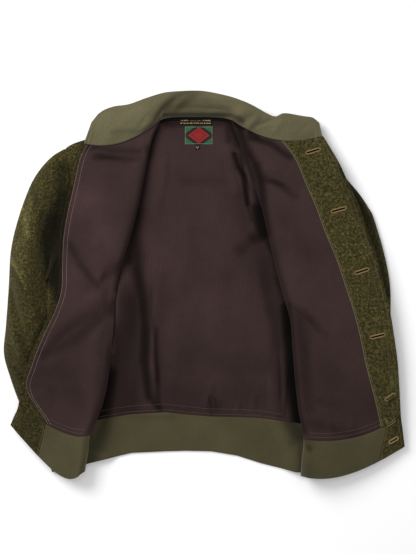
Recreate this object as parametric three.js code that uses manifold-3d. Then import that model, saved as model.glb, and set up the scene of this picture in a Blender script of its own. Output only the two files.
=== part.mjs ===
// A waist-length wool jacket with a knit collar and hem, laid on its back with both fronts swung open.
// Millimetres. +Z is up from the surface it lies on, +Y runs towards the collar, and +X is the wearer's left.
// Each cloth piece is a closed wall of real thickness, worked out from a table of sections.
import * as THREE from "three";
import { mergeVertices } from "three/addons/utils/BufferGeometryUtils.js";
import Module from "manifold-3d";

const wasm = await Module();
wasm.setup();

// Cloth thicknesses and the gap kept between neighbouring pieces
const WOOL = 2.4;
const LINING = 1.0;
const FACING = 2.0;
const SEAM_GAP = 0.3;
const BAND_GAP = 0.7;
const LABEL = 0.6;

// Height of the line where wool meets lining in a front that lies face to face on the back panel
const BACK_STACK = WOOL + SEAM_GAP + LINING;
const LOWER_LEG = BACK_STACK + SEAM_GAP + LINING + SEAM_GAP;

// The back panel rises over the flattened sleeves that are tucked under it, and the fronts that lie on the back
// rise a little sooner and come down more gently
const SLEEVE_LIFT = 9.2;
const BACK_RISE = { margin: 12, ramp: 34, top: 48, length: 34 };
const FRONT_RISE = { margin: 20, ramp: 84, top: 112, length: 76 };
const LEAST_SPAN = 24;

// The wool of a front curls round the side seam and meets the edge of the back
const CURL_RADIUS = (LOWER_LEG - WOOL) / 2;
const SIDE_GAP = 0.8;

// A small share of one row, which parts a panel from the hem band sewn to it
const ROW_GAP = 0.012;
const SHARE_GAP = 0.004;
const SHOULDER_ROW = 2;
const HEM_ROW = 12;

const BUTTON = { radius: 10, rim: 1.6, thickness: 3.4, dish: 0.8, hole: 0.9, pitch: 2.2, inset: 21, gap: 1 };
const SLIT = { width: 1.8, depth: 5.5 };

const OLIVE_WOOL = 0x49432a;
const BROWN_LINING = 0x3b2f2d;
const KHAKI_RIB = 0x69604a;
const OLIVE_RIB = 0x4d4732;

// Turns rows of numbers into one list for each named column.
function table(columns, rows) {
  const made = { length: rows.length };
  columns.forEach((name, i) => (made[name] = rows.map((row) => row[i])));
  return made;
}

// Smooth value of a column between its rows (Catmull-Rom).
function sample(rows, column, at) {
  const list = rows[column];
  const last = list.length - 1;
  const i = Math.min(Math.max(Math.floor(at), 0), last - 1);
  const t = at - i;
  const [a, b, c, d] = [i - 1, i, i + 1, i + 2].map((k) => list[Math.min(Math.max(k, 0), last)]);
  return b + 0.5 * t * (c - a + t * (2 * a - 5 * b + 4 * c - d + t * (3 * (b - c) + d - a)));
}

// Straight-line value of a column at a given value of another, rising or falling, column.
function lookUp(rows, key, column, value) {
  const keys = rows[key];
  const rising = keys[keys.length - 1] > keys[0];
  let i = 0;
  while (i < keys.length - 2 && (rising ? keys[i + 1] < value : keys[i + 1] > value)) i += 1;
  const t = Math.min(Math.max((value - keys[i]) / (keys[i + 1] - keys[i]), 0), 1);
  return rows[column][i] * (1 - t) + rows[column][i + 1] * t;
}

const ease = (x) => {
  const t = Math.min(Math.max(x, 0), 1);
  return t * t * (3 - 2 * t);
};

const steps = (from, to, count) => Array.from({ length: count + 1 }, (_, i) => from + ((to - from) * i) / count);

const SLEEVE_COLUMNS = ["outerX", "outerY", "innerX", "innerY", "roll", "rollEnd", "flat"];

// Sections of the wearer's right sleeve, from armhole to cuff seam: outer and inner edge in plan, height of the
// puffed outer roll, the share of the width where that roll ends, and the height of the flattened rest
const RIGHT_SLEEVE = table(SLEEVE_COLUMNS, [
  [-258.4, 250, -286.4, 12, 9, 0.6, 7.7],
  [-281, 236, -293, 5, 17, 0.6, 7.9],
  [-304, 211, -289, -12, 25, 0.6, 8.0],
  [-323, 178, -272, -36, 31, 0.58, 8.0],
  [-344, 119, -247, -60, 35, 0.55, 8.1],
  [-357, 62, -226, -86, 36, 0.52, 8.1],
  [-361, -5, -211, -124, 35, 0.5, 8.1],
  [-366, -75, -208, -170, 31, 0.48, 8.1],
  [-370, -127, -211, -210, 25, 0.46, 8.1],
  [-358, -173, -218, -240, 19, 0.44, 8.1],
  [-341, -220, -221, -262, 15, 0.42, 8.1],
  [-321, -266, -219, -284, 11, 0.4, 8.1],
  [-303, -303, -213, -303, 8.6, 0.4, 8.0],
]);

const LEFT_SLEEVE = table(SLEEVE_COLUMNS, [
  [207.6, 245, 242.6, 12, 9, 0.6, 7.7],
  [236, 228, 250, 5, 13, 0.6, 7.9],
  [266, 191, 246, -12, 15, 0.6, 8.0],
  [287, 166, 230, -38, 16, 0.56, 8.0],
  [304, 140, 211, -66, 17, 0.52, 8.1],
  [313, 122, 199, -92, 18, 0.48, 8.1],
  [332, 58, 178, -125, 18, 0.46, 8.1],
  [343, -1, 164, -162, 17, 0.45, 8.1],
  [344, -66, 159, -197, 16, 0.44, 8.1],
  [341, -131, 159, -231, 15, 0.44, 8.1],
  [331, -186, 163, -257, 13, 0.43, 8.1],
  [317, -233, 170, -279, 11, 0.42, 8.1],
  [302, -272, 181, -299, 8.6, 0.4, 8.0],
]);

// A knit cuff narrows the sleeve end: outer and inner edge in plan
const RIGHT_CUFF = table(SLEEVE_COLUMNS, [
  [-302.6, -303.7, -212.9, -303.6, 8.4, 0.4, 8.0],
  [-293, -318, -212, -307, 8.0, 0.4, 8.0],
  [-287, -333, -207, -313, 8.0, 0.4, 8.0],
  [-281, -347, -201, -319, 8.0, 0.4, 8.0],
]);

const LEFT_CUFF = table(SLEEVE_COLUMNS, [
  [301.8, -272.7, 181.1, -299.7, 8.4, 0.4, 8.0],
  [286, -289, 186, -309, 8.0, 0.4, 8.0],
  [277, -305, 186, -322, 8.0, 0.4, 8.0],
  [271, -321, 184, -337, 8.0, 0.4, 8.0],
]);

const FRONT_COLUMNS = [
  "shoulderX", "sideY", "foldX", "foldY", "bendX", "bendY", "edgeX", "edgeY",
  "radius", "midZ", "edgeZ", "pull", "curl", "liningEnd", "ribEnd",
];

// Sections of a front, from neckline to hem. Its under leg runs from the shoulder, armhole and side to the fold.
// Its upper leg turns back over it and runs past the bend to the centre-front edge. The last columns are the roll
// of the fold, heights along the upper leg, how hard the bend pulls, how far the wool curls round the side seam, and
// where lining and rib end
const RIGHT_FRONT = table(FRONT_COLUMNS, [
  [-104, 298, -80, 305, -153, 239, -222, 259, 4.6, 17, 17, 1, 0.15, 0.97, 0.7],
  [-172, 276, -95, 275, -163, 234, -230, 243, 5.2, 19, 20, 1, 0.15, 0.97, 0.7],
  [-255.5, 248, -104, 239, -174, 219, -237, 221, 6.0, 21, 24, 1, 0.15, 0.97, 0.7],
  [-244, 184, -113, 191, -180, 182, -246, 178, 7.0, 22, 26, 1, 0.15, 0.97, 0.7],
  [-243, 128, -124, 137, -191, 134, -256, 134, 8.0, 24, 27, 1, 0.15, 0.97, 0.7],
  [-257, 68, -139, 82, -202, 82, -264, 86, 9.0, 26, 27, 1, 0.15, 0.97, 0.7],
  [-284, 12, -156, 26, -210, 30, -266, 37, 9.5, 28, 26, 1, 0.15, 0.97, 0.7],
  [-285, -38, -165, -27, -215, -22, -267, -7, 10.0, 30, 26, 1, 1, 0.97, 0.7],
  [-283, -85, -168, -79, -222, -72, -280, -49, 10.5, 30, 28, 1, 1, 0.97, 0.7],
  [-280, -140, -173, -135, -234, -123, -302, -94, 11.0, 29, 31, 1, 1, 0.97, 0.7],
  [-274, -190, -180, -190, -245, -179, -322, -144, 12.0, 28, 33, 1, 1, 0.97, 0.7],
  [-270, -236, -193, -236, -248, -234, -335, -188, 12.5, 27, 29, 1, 1, 0.94, 0.7],
  [-267, -271, -210, -276, -252, -283, -342, -227, 12.5, 26, 24, 1, 1, 0.65, 0.68],
  [-265, -306, -214, -309, -254, -330, -349, -243, 12.5, 25, 20, 1.2, 1, 0.65, 0.72],
  [-263, -341, -220, -343, -259, -371, -356, -259, 12.5, 24, 16, 1.5, 1, 0.65, 0.76],
]);

const LEFT_FRONT = table(FRONT_COLUMNS, [
  [72, 297, 50, 304, 129, 244, 218, 272, 4.6, 17, 20, 1, 0.15, 0.56, 0.7],
  [137, 272, 61, 276, 149, 234, 233, 247, 5.2, 20, 22, 1, 0.15, 0.55, 0.7],
  [204.5, 243, 74, 239, 162, 219, 247, 223, 6.0, 22, 24, 1, 0.15, 0.55, 0.7],
  [190, 187, 90, 191, 177, 182, 263, 188, 7.0, 24, 25, 1, 0.15, 0.55, 0.7],
  [190, 130, 107, 141, 196, 137, 282, 148, 8.0, 26, 25, 1, 0.15, 0.55, 0.7],
  [207, 68, 120, 86, 210, 89, 298, 100, 9.0, 27, 25, 1, 0.15, 0.57, 0.7],
  [240, 12, 133, 30, 223, 41, 314, 60, 9.5, 28, 25, 1, 0.15, 0.6, 0.7],
  [245, -35, 146, -18, 236, -11, 327, 10, 10.0, 28, 25, 1, 1, 0.62, 0.7],
  [246, -81, 159, -66, 251, -62, 339, -42, 10.5, 28, 24, 1, 1, 0.65, 0.7],
  [244, -131, 163, -116, 259, -112, 347, -88, 11.0, 28, 23, 1, 1, 0.69, 0.7],
  [242, -177, 167, -166, 262, -166, 354, -136, 11.5, 28, 22, 1, 1, 0.73, 0.7],
  [239, -223, 173, -222, 270, -225, 358, -188, 12.0, 27, 20, 1, 1, 0.78, 0.7],
  [236, -271, 183, -284, 292, -294, 361, -240, 12.0, 26, 17, 1, 1, 0.8, 0.8],
  [235, -308, 180, -318, 276, -332, 365, -270, 12.0, 25, 14, 1.1, 1, 0.8, 0.8],
  [234, -344, 178, -351, 259, -365, 369, -299, 12.0, 24, 11, 1.2, 1, 0.8, 0.8],
]);

// Each armhole seam: shoulder tip, armpit, and how far it bows in towards the body between them
const ARMHOLES = {
  right: { tipX: -256, tipY: 250, pitX: -284, pitY: 12, bow: 26 },
  left: { tipX: 205, tipY: 245, pitX: 240, pitY: 12, bow: -31 },
};

// The side seams below the armholes, and the sides of the hem band
const SIDE_SEAMS = table(["y", "right", "left"], [
  [12, -284, 240],
  [-57, -285, 246],
  [-136, -280, 244],
  [-213, -272, 240],
  [-271, -267, 236],
  [-344, -263, 234],
]);

// Heights of the back panel's rows at its sides, from shoulder tip to hem seam
const BACK_ROWS = table(["y"], [[243], [193], [134], [73], [12], [-57], [-136], [-213], [-271]]);

// Rise of the shoulder and neck line above the shoulder tips, and of the hem seam above its ends, across the back
const BACK_RISES = table(["across", "shoulder", "hem"], [
  [0, 7, 0],
  [0.13, 27, 21],
  [0.26, 46, 31],
  [0.388, 65, 35],
  [0.46, 66.3, 31],
  [0.555, 66.3, 27],
  [0.652, 65, 26],
  [0.74, 46, 24],
  [0.87, 23, 16],
  [1, 2, 0],
]);

// Lower edge of the knit band on the back, at the same shares of its width
const BACK_BAND_EDGE = table(["across", "edgeY"], [
  [0, -342],
  [0.13, -326],
  [0.26, -311],
  [0.388, -308],
  [0.46, -307],
  [0.555, -308],
  [0.652, -316],
  [0.74, -330],
  [0.87, -346],
  [1, -347],
]);

// The collar from the wearer's right end round the neck to the left. Neck is where its seam lies, 0 to 1 along the
// right neckline, 1 to 2 across the back and 2 to 3 along the left. The rest is its free edge, with the height of
// that edge, and how high it rises between
const COLLAR = table(["neck", "freeX", "freeY", "freeZ", "crest"], [
  [0.01, -207, 299, 13, 3],
  [0.13, -191, 317, 9, 5],
  [0.29, -168, 327, 9, 7],
  [0.48, -139, 331, 12, 9],
  [0.67, -109, 341, 17, 13],
  [0.83, -85, 348, 22, 17],
  [0.97, -70, 351, 26, 21],
  [1.12, -49, 353, 28, 24],
  [1.28, -26, 354, 28, 25],
  [1.5, 1, 353, 28, 25],
  [1.72, 33, 347, 27, 24],
  [1.88, 65, 338, 26, 21],
  [2.05, 92, 326, 23, 15],
  [2.22, 114, 314, 20, 11],
  [2.37, 131, 308, 18, 8],
  [2.55, 148, 314, 18, 8],
  [2.77, 180, 309, 17, 7],
  [2.9, 199, 306, 16, 5],
  [2.99, 211, 296, 16, 2],
]);
const COLLAR_SEAM = { gap: 2.2, rise: 1.6, blend: 0.12 };

const FOLD_COLUMNS = ["fromX", "fromY", "toX", "toY", "width", "rise"];

// Soft folds of the lining that lies on the back panel: a line in plan, half width and rise
const BACK_FOLDS = table(FOLD_COLUMNS, [
  [-92, 20, -96, -235, 17, 5.5],
  [-52, -60, -62, -215, 14, 1.5],
  [12, -190, 14, -243, 7, 3.0],
  [30, -200, 27, -243, 6, 2.0],
  [44, 246, 60, 170, 9, 4.0],
]);

// Soft folds of the two opened fronts, ridges above and troughs below
const RIGHT_FRONT_FOLDS = table(FOLD_COLUMNS, [
  [-188, 244, -140, 240, 11, 2.0],
  [-186, 224, -135, 218, 12, -2.0],
  [-270, -105, -178, -60, 22, -4.0],
  [-262, -150, -190, -150, 30, 3.0],
  [-205, 60, -160, -20, 26, 2.5],
]);

const LEFT_FRONT_FOLDS = table(FOLD_COLUMNS, [
  [96, 196, 172, 170, 13, -3.5],
  [100, 168, 190, 140, 18, 2.5],
  [70, 262, 84, 180, 12, 3.5],
  [170, -100, 260, -130, 30, -2.5],
  [190, -230, 300, -220, 22, 2.5],
]);

// Buttonholes in the wearer's left front, by both ends of the slit
const BUTTONHOLES = table(["fromX", "fromY", "toX", "toY", "tab"], [
  [188, 241, 212, 248, 0],
  [234, 133, 259, 140, 0],
  [277, 20, 301, 28, 0],
  [306, -98, 331, -92, 0],
  [329, -213, 350, -202, 0],
  [338, -292, 356, -283, 1],
]);

// Buttons under the wearer's right front: section where each one is sewn, counted in rows of its table
const BUTTON_ROWS = [0.75, 3.2, 5.9, 8.35, 10.5, 13.3];

const LABELS = table(["name", "fromX", "toX", "fromY", "toY", "colour"], [
  ["label_main", -36, 16, 258, 292, 0x6a2a26],
  ["label_strip", -46, 14, 295, 305, 0x16130f],
  ["label_size", -17, -8, 249, 256.5, 0x16130f],
]);

// Where an armhole seam lies at a share of its length, from shoulder tip to armpit.
function armholePoint(side, share) {
  const { tipX, tipY, pitX, pitY, bow } = ARMHOLES[side];
  const x = tipX + (pitX - tipX) * share + bow * Math.sin(Math.PI * share);
  return new THREE.Vector2(x, tipY + (pitY - tipY) * share);
}

// Where the side of the body lies at a height in plan, along the armhole or the side seam.
function sideX(side, y) {
  const { tipY, pitY } = ARMHOLES[side];
  if (y <= pitY) return lookUp(SIDE_SEAMS, "y", side, y);
  return armholePoint(side, Math.max((tipY - y) / (tipY - pitY), 0)).x;
}

// Inner edges of each sleeve with its cuff
const joined = (sleeve, cuff, column) => [...sleeve[column], ...cuff[column]];
const tucked = (sleeve, cuff) => ({
  innerX: joined(sleeve, cuff, "innerX"),
  innerY: joined(sleeve, cuff, "innerY"),
});
const RIGHT_TUCK = tucked(RIGHT_SLEEVE, RIGHT_CUFF);
const LEFT_TUCK = tucked(LEFT_SLEEVE, LEFT_CUFF);

// How far a panel is raised at a place in plan, for the sleeves under it.
function liftOf(rise, x, y) {
  const down = ease((rise.top - y) / rise.length);
  const right = lookUp(RIGHT_TUCK, "innerY", "innerX", y) + rise.margin;
  const left = lookUp(LEFT_TUCK, "innerY", "innerX", y) - rise.margin;
  const share = Math.max(ease((right + rise.ramp - x) / rise.ramp), ease((x - left + rise.ramp) / rise.ramp));
  return SLEEVE_LIFT * down * share;
}

const backLift = (x, y) => liftOf(BACK_RISE, x, y);
const frontLift = (x, y) => liftOf(FRONT_RISE, x, y);

// Rise or fall at a place in plan that a table of soft folds gives.
function foldRise(folds, x, y) {
  let rise = 0;
  for (let i = 0; i < folds.length; i += 1) {
    const [ax, ay, bx, by] = ["fromX", "fromY", "toX", "toY"].map((name) => folds[name][i]);
    const length2 = (bx - ax) ** 2 + (by - ay) ** 2;
    const along = ((x - ax) * (bx - ax) + (y - ay) * (by - ay)) / length2;
    const t = Math.min(Math.max(along, 0), 1);
    const distance = Math.hypot(x - ax - t * (bx - ax), y - ay - t * (by - ay));
    rise += folds.rise[i] * Math.exp(-((distance / folds.width[i]) ** 2));
  }
  return rise;
}

// A point of a front where wool meets lining. At is the row of its table, and station runs -1 to 0 round the side
// seam, 0 to 1 along the under leg, 1 to 2 round the fold, and 2 to 3 along the upper leg.
function frontPoint(front, at, station) {
  const get = (column) => sample(front.rows, column, at);
  const side = new THREE.Vector2(get("shoulderX"), get("sideY"));
  if (at > SHOULDER_ROW) side.x = sideX(front.side, side.y);
  const fold = new THREE.Vector2(get("foldX"), get("foldY"));
  const bend = new THREE.Vector2(get("bendX"), get("bendY"));
  const edge = new THREE.Vector2(get("edgeX"), get("edgeY"));
  const radius = get("radius");
  const under = side.clone().sub(fold).normalize();
  const over = bend.clone().sub(fold).normalize();
  const underEnd = fold.clone().addScaledVector(under, radius);
  const overStart = fold.clone().addScaledVector(over, radius);
  const foldZ = frontLift(underEnd.x, underEnd.y) + LOWER_LEG;
  if (station < 0) {
    const pieces = 12;
    const place = side.clone();
    let z = frontLift(side.x, side.y) + LOWER_LEG;
    const whole = -station * get("curl") * Math.PI;
    const length = (whole * CURL_RADIUS) / pieces;
    for (let k = 0; k < pieces; k += 1) {
      const turn = (whole * (k + 0.5)) / pieces;
      place.addScaledVector(under, length * Math.cos(turn));
      z -= length * Math.sin(turn);
    }
    return new THREE.Vector3(place.x, place.y, z);
  }
  if (station <= 1) {
    const place = side.clone().lerp(underEnd, station);
    return new THREE.Vector3(place.x, place.y, frontLift(place.x, place.y) + LOWER_LEG);
  }
  if (station < 2) {
    const turn = (station - 1) * Math.PI;
    const away = under.clone().lerp(over, station - 1).normalize();
    const place = fold.clone().addScaledVector(away, radius * (1 - Math.sin(turn)));
    return new THREE.Vector3(place.x, place.y, foldZ + radius * (1 - Math.cos(turn)));
  }
  const t = station - 2;
  const terms = [(1 - t) ** 2, 2 * t * (1 - t) * get("pull"), t * t];
  const weights = terms.map((term) => term / (terms[0] + terms[1] + terms[2]));
  const place = overStart.multiplyScalar(weights[0]);
  place.addScaledVector(bend, weights[1]).addScaledVector(edge, weights[2]);
  const z = weights[0] * (foldZ + 2 * radius) + weights[1] * get("midZ") + weights[2] * get("edgeZ");
  return new THREE.Vector3(place.x, place.y, z + ease(4 * t) * foldRise(front.folds, place.x, place.y));
}

// Columns of the back at a height in plan: close together where it comes down beside a sleeve, even between.
const MIDDLE_COLUMNS = 9;
const SIDE_COLUMNS = 4;
const BACK_COLUMNS = MIDDLE_COLUMNS + 2 * SIDE_COLUMNS;

function acrossBack(y, station) {
  const [from, to] = [sideX("right", y) + SIDE_GAP, sideX("left", y) - SIDE_GAP];
  const { margin, ramp } = BACK_RISE;
  const right = Math.max(lookUp(RIGHT_TUCK, "innerY", "innerX", y) + margin, from + LEAST_SPAN);
  const left = Math.min(lookUp(LEFT_TUCK, "innerY", "innerX", y) - margin, to - LEAST_SPAN);
  const middle = steps(right + ramp, left - ramp, MIDDLE_COLUMNS);
  const knots = [from, (from + right) / 2, right, right + ramp / 2, ...middle];
  knots.push(left - ramp / 2, left, (left + to) / 2, to);
  const place = station * BACK_COLUMNS;
  const i = Math.min(Math.max(Math.floor(place), 0), BACK_COLUMNS - 1);
  const x = knots[i] + (knots[i + 1] - knots[i]) * (place - i);
  return { x, share: (x - from) / (to - from) };
}

// The back panel where wool meets lining: at runs 0 to 1 down it and station 0 to 1 across it.
function backPoint(at, station) {
  const y = sample(BACK_ROWS, "y", at * (BACK_ROWS.length - 1));
  const { x, share } = acrossBack(y, station);
  const shoulder = lookUp(BACK_RISES, "across", "shoulder", share) * Math.max(1 - at, 0) ** 1.5;
  const hem = lookUp(BACK_RISES, "across", "hem", share) * Math.max(at, 0) ** 1.5;
  const place = new THREE.Vector2(x, y + shoulder + hem);
  return new THREE.Vector3(place.x, place.y, backLift(place.x, place.y) + WOOL);
}

function backLiningPoint(at, station) {
  const point = backPoint(at, station);
  point.z += foldRise(BACK_FOLDS, point.x, point.y) * ease(8 * at) * ease(6 * (1 - at));
  return point;
}

// The knit band on the back: at runs 0 to 1 from its seam to its lower edge.
function backBandPoint(at, station) {
  const seam = backPoint(1, station);
  const { share } = acrossBack(BACK_ROWS.y.at(-1), station);
  const edgeY = lookUp(BACK_BAND_EDGE, "across", "edgeY", share);
  const y = (seam.y - BAND_GAP) * (1 - at) + edgeY * at;
  const [from, to] = [sideX("right", y) + SIDE_GAP, sideX("left", y) - SIDE_GAP];
  const x = from + (to - from) * share;
  return new THREE.Vector3(x, y, backLift(x, y) + WOOL);
}

// The neckline where wool meets lining, round both fronts and the back between them.
function necklinePoint(neck) {
  const back = (from) => {
    const share = 0.39 + 0.26 * from;
    const [left, right] = [sideX("right", BACK_ROWS.y[0]), sideX("left", BACK_ROWS.y[0])];
    const y = BACK_ROWS.y[0] + lookUp(BACK_RISES, "across", "shoulder", share);
    return new THREE.Vector3(left + (right - left) * share, y, WOOL);
  };
  if (neck < 1.5) {
    const front = frontPoint(RIGHT, 0, 2 + Math.max(1 - neck, 0));
    return front.lerp(back(Math.max(neck - 1, 0)), ease((neck - 1) / COLLAR_SEAM.blend));
  }
  const front = frontPoint(LEFT, 0, 2 + Math.max(neck - 2, 0));
  return front.lerp(back(Math.min(neck - 1, 1)), ease((2 - neck) / COLLAR_SEAM.blend));
}

// The collar: at runs 0 to 1 from its seam to its free edge, and station counts rows of its table.
function collarPoint(at, station) {
  const get = (column) => sample(COLLAR, column, station);
  const seam = necklinePoint(get("neck"));
  const free = new THREE.Vector3(get("freeX"), get("freeY"), get("freeZ"));
  const out = free.clone().sub(seam).setZ(0).normalize();
  seam.addScaledVector(out, COLLAR_SEAM.gap);
  seam.z += COLLAR_SEAM.rise;
  const place = seam.lerp(free, at);
  place.z += get("crest") * Math.sin(Math.PI * at) * 0.6;
  return place;
}

// A point of a surface moved out along its normal. Facing is 1 or -1, the side that the normal is taken on.
function movedOut(surface, facing, at, station, distance) {
  const nudge = 1e-3;
  const across = surface(at, station + nudge).sub(surface(at, station - nudge));
  const down = surface(at + nudge, station).sub(surface(at - nudge, station));
  const normal = across.cross(down).normalize().multiplyScalar(facing);
  return surface(at, station).addScaledVector(normal, distance);
}

// Triangles of a closed wall between two grids of points of the same size.
function shellBetween(inner, outer) {
  const rows = inner.length;
  const columns = inner[0].length;
  const points = [...inner.flat(), ...outer.flat()];
  const under = (i, j) => i * columns + j;
  const over = (i, j) => rows * columns + i * columns + j;
  const faces = [];
  const quad = (a, b, c, d) => faces.push(a, b, c, a, c, d);
  for (let i = 0; i < rows - 1; i += 1) {
    for (let j = 0; j < columns - 1; j += 1) {
      quad(under(i, j), under(i + 1, j), under(i + 1, j + 1), under(i, j + 1));
      quad(over(i, j), over(i, j + 1), over(i + 1, j + 1), over(i + 1, j));
    }
    quad(under(i, 0), over(i, 0), over(i + 1, 0), under(i + 1, 0));
    quad(under(i, columns - 1), under(i + 1, columns - 1), over(i + 1, columns - 1), over(i, columns - 1));
  }
  for (let j = 0; j < columns - 1; j += 1) {
    quad(under(0, j), under(0, j + 1), over(0, j + 1), over(0, j));
    quad(under(rows - 1, j), over(rows - 1, j), over(rows - 1, j + 1), under(rows - 1, j + 1));
  }
  return closedGeometry(points, faces);
}

// Volume inside a closed surface, negative where its faces point in.
function signedVolume(points, faces) {
  let six = 0;
  for (let i = 0; i < faces.length; i += 3) {
    const [a, b, c] = [0, 1, 2].map((k) => points[faces[i + k]]);
    six += a.dot(b.clone().cross(c));
  }
  return six / 6;
}

function closedGeometry(points, faces) {
  const outward = signedVolume(points, faces) > 0;
  const index = outward ? faces : faces.toReversed();
  const geometry = new THREE.BufferGeometry().setFromPoints(points);
  geometry.setIndex(index);
  return geometry;
}

// A cloth wall: stations may differ from row to row, and inner and outer are distances from the surface.
function wall(surface, facing, rows, stationsAt, inner, outer) {
  const grid = (distance) =>
    rows.map((at) => stationsAt(at).map((station) => movedOut(surface, facing, at, station, distance)));
  return shellBetween(grid(inner), grid(outer));
}

// Height of the top of a sleeve section at a share of its width.
function sleeveTop(rows, at, share) {
  const rollEnd = sample(rows, "rollEnd", at);
  const flat = sample(rows, "flat", at);
  const offCentre = (share - rollEnd / 2.3) / (rollEnd / 1.75);
  const bump = Math.max(1 - offCentre ** 2, 0) ** 2;
  return flat + (sample(rows, "roll", at) - flat) * bump;
}

const SLEEVE_UNDER = [0.03, 0.2, 0.5, 0.8, 0.97];
const SLEEVE_OVER = [0.97, 0.88, 0.74, 0.62, 0.54, 0.46, 0.38, 0.3, 0.22, 0.14, 0.07, 0.025];
const SLEEVE_END_SHARE = 0.5;
const ARMHOLE_REACH = 3;
const LIFT_REACH = 1.8;

// One closed ring of a flattened sleeve, inset by the cloth's thickness for the inner face. The first rings follow
// the armhole's bow and its lift at the armpit.
function sleeveRing(rows, at, inset) {
  const outer = new THREE.Vector2(sample(rows, "outerX", at), sample(rows, "outerY", at));
  const inner = new THREE.Vector2(sample(rows, "innerX", at), sample(rows, "innerY", at));
  const along = inner.clone().sub(outer);
  const width = along.length();
  along.normalize();
  const bowing = rows.side ? ARMHOLES[rows.side].bow * Math.max(1 - at / ARMHOLE_REACH, 0) : 0;
  const lifting = rows.side ? 1 - ease(at / LIFT_REACH) : 0;
  const place = (share, z) => {
    const reach = inset + share * (width - 2 * inset);
    const bow = bowing * Math.sin((Math.PI * reach) / width);
    const seam = lifting ? armholePoint(rows.side, reach / width) : outer;
    const liftFor = z > WOOL ? frontLift : backLift;
    const lift = lifting ? lifting * liftFor(seam.x, seam.y) : 0;
    return new THREE.Vector3(outer.x + along.x * reach + bow, outer.y + along.y * reach, z + lift);
  };
  const ring = [place(0, SLEEVE_END_SHARE * sleeveTop(rows, at, 0))];
  SLEEVE_UNDER.forEach((share) => ring.push(place(share, inset)));
  ring.push(place(1, SLEEVE_END_SHARE * sleeveTop(rows, at, 1)));
  SLEEVE_OVER.forEach((share) => ring.push(place(share, sleeveTop(rows, at, share) - inset)));
  return ring;
}

// A sleeve or cuff: an open tube with a wall of the given thickness.
function tube(rows, places, thickness) {
  const rings = (inset) => places.map((at) => sleeveRing(rows, at, inset));
  const [outer, inner] = [rings(0), rings(thickness)];
  const count = outer[0].length;
  const points = [...outer.flat(), ...inner.flat()];
  const out = (i, j) => i * count + (j % count);
  const into = (i, j) => (places.length + i) * count + (j % count);
  const faces = [];
  const quad = (a, b, c, d) => faces.push(a, b, c, a, c, d);
  for (let j = 0; j < count; j += 1) {
    for (let i = 0; i < places.length - 1; i += 1) {
      quad(out(i, j), out(i + 1, j), out(i + 1, j + 1), out(i, j + 1));
      quad(into(i, j), into(i, j + 1), into(i + 1, j + 1), into(i + 1, j));
    }
    const last = places.length - 1;
    quad(out(0, j), out(0, j + 1), into(0, j + 1), into(0, j));
    quad(out(last, j), into(last, j), into(last, j + 1), out(last, j + 1));
  }
  return closedGeometry(points, faces);
}

function solidOf(geometry) {
  const bare = geometry.clone();
  bare.deleteAttribute("normal");
  bare.deleteAttribute("uv");
  const merged = mergeVertices(bare, 1e-4);
  const triVerts = new Uint32Array(merged.index.array);
  return new wasm.Manifold(
    new wasm.Mesh({ numProp: 3, vertProperties: merged.attributes.position.array, triVerts }),
  );
}

function geometryOf(solid) {
  const mesh = solid.getMesh();
  const geometry = new THREE.BufferGeometry();
  geometry.setAttribute("position", new THREE.BufferAttribute(new Float32Array(mesh.vertProperties), 3));
  geometry.setIndex(new THREE.BufferAttribute(new Uint32Array(mesh.triVerts), 1));
  return geometry;
}

// Middle of the jacket's outline in plan, in the numbers of the tables above
const MIDDLE = { x: -0.4, y: -0.2 };

const jacket = new THREE.Group();

function add(name, geometry, colour, roughness = 0.95) {
  geometry.translate(-MIDDLE.x, -MIDDLE.y, 0);
  geometry.computeVertexNormals();
  const material = new THREE.MeshStandardMaterial({ color: colour, roughness, metalness: 0 });
  const mesh = new THREE.Mesh(geometry, material);
  mesh.name = name;
  jacket.add(mesh);
}

const RIGHT = { side: "right", rows: RIGHT_FRONT, folds: RIGHT_FRONT_FOLDS, facing: 1 };
const LEFT = { side: "left", rows: LEFT_FRONT, folds: LEFT_FRONT_FOLDS, facing: -1 };

const ARMPIT_ROW = 6;
const PANEL_ROWS = [
  ...steps(0, SHOULDER_ROW, 2).slice(0, -1),
  ...steps(SHOULDER_ROW, ARMPIT_ROW, 7).slice(0, -1),
  ...steps(ARMPIT_ROW, HEM_ROW - ROW_GAP, 7),
];
const BAND_ROWS = steps(HEM_ROW + ROW_GAP, HEM_ROW + 2, 3);
const UNDER_STATIONS = steps(0, 1, 4).slice(0, -1);
const FOLD_STATIONS = steps(1, 2, 6).slice(0, -1);
const CURL_STATIONS = steps(-1, 0, 3).slice(0, -1);

const upperBetween = (from, to, count) => steps(2 + from, 2 + to, count);
const surfaceOf = (front) => (at, station) => frontPoint(front, at, station);

// The slit of one buttonhole as a slim prism that reaches a little above and below the cloth.
function slitCutter(i) {
  const from = new THREE.Vector2(BUTTONHOLES.fromX[i], BUTTONHOLES.fromY[i]);
  const to = new THREE.Vector2(BUTTONHOLES.toX[i], BUTTONHOLES.toY[i]);
  const half = SLIT.width / 2;
  const length = from.distanceTo(to) / 2 - half;
  const shape = new THREE.Shape();
  shape.absarc(length, 0, half, -Math.PI / 2, Math.PI / 2);
  shape.absarc(-length, 0, half, Math.PI / 2, (3 * Math.PI) / 2);
  const options = { depth: 2 * SLIT.depth, bevelEnabled: false, curveSegments: 3 };
  const geometry = new THREE.ExtrudeGeometry(shape, options);
  const middle = from.clone().lerp(to, 0.5);
  geometry.rotateZ(Math.atan2(to.y - from.y, to.x - from.x));
  geometry.translate(middle.x, middle.y, upperHeight(LEFT, middle) - SLIT.depth);
  return solidOf(geometry);
}

// Height of a front's upper leg over a place in plan, from the nearest point on a fine grid.
function upperHeight(front, place) {
  let best = Infinity;
  let z = 0;
  for (const at of steps(0, HEM_ROW + 2, 140)) {
    for (const station of steps(2.3, 3, 28)) {
      const point = frontPoint(front, at, station);
      const distance = Math.hypot(point.x - place.x, point.y - place.y);
      if (distance < best) [best, z] = [distance, point.z];
    }
  }
  return z;
}

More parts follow.
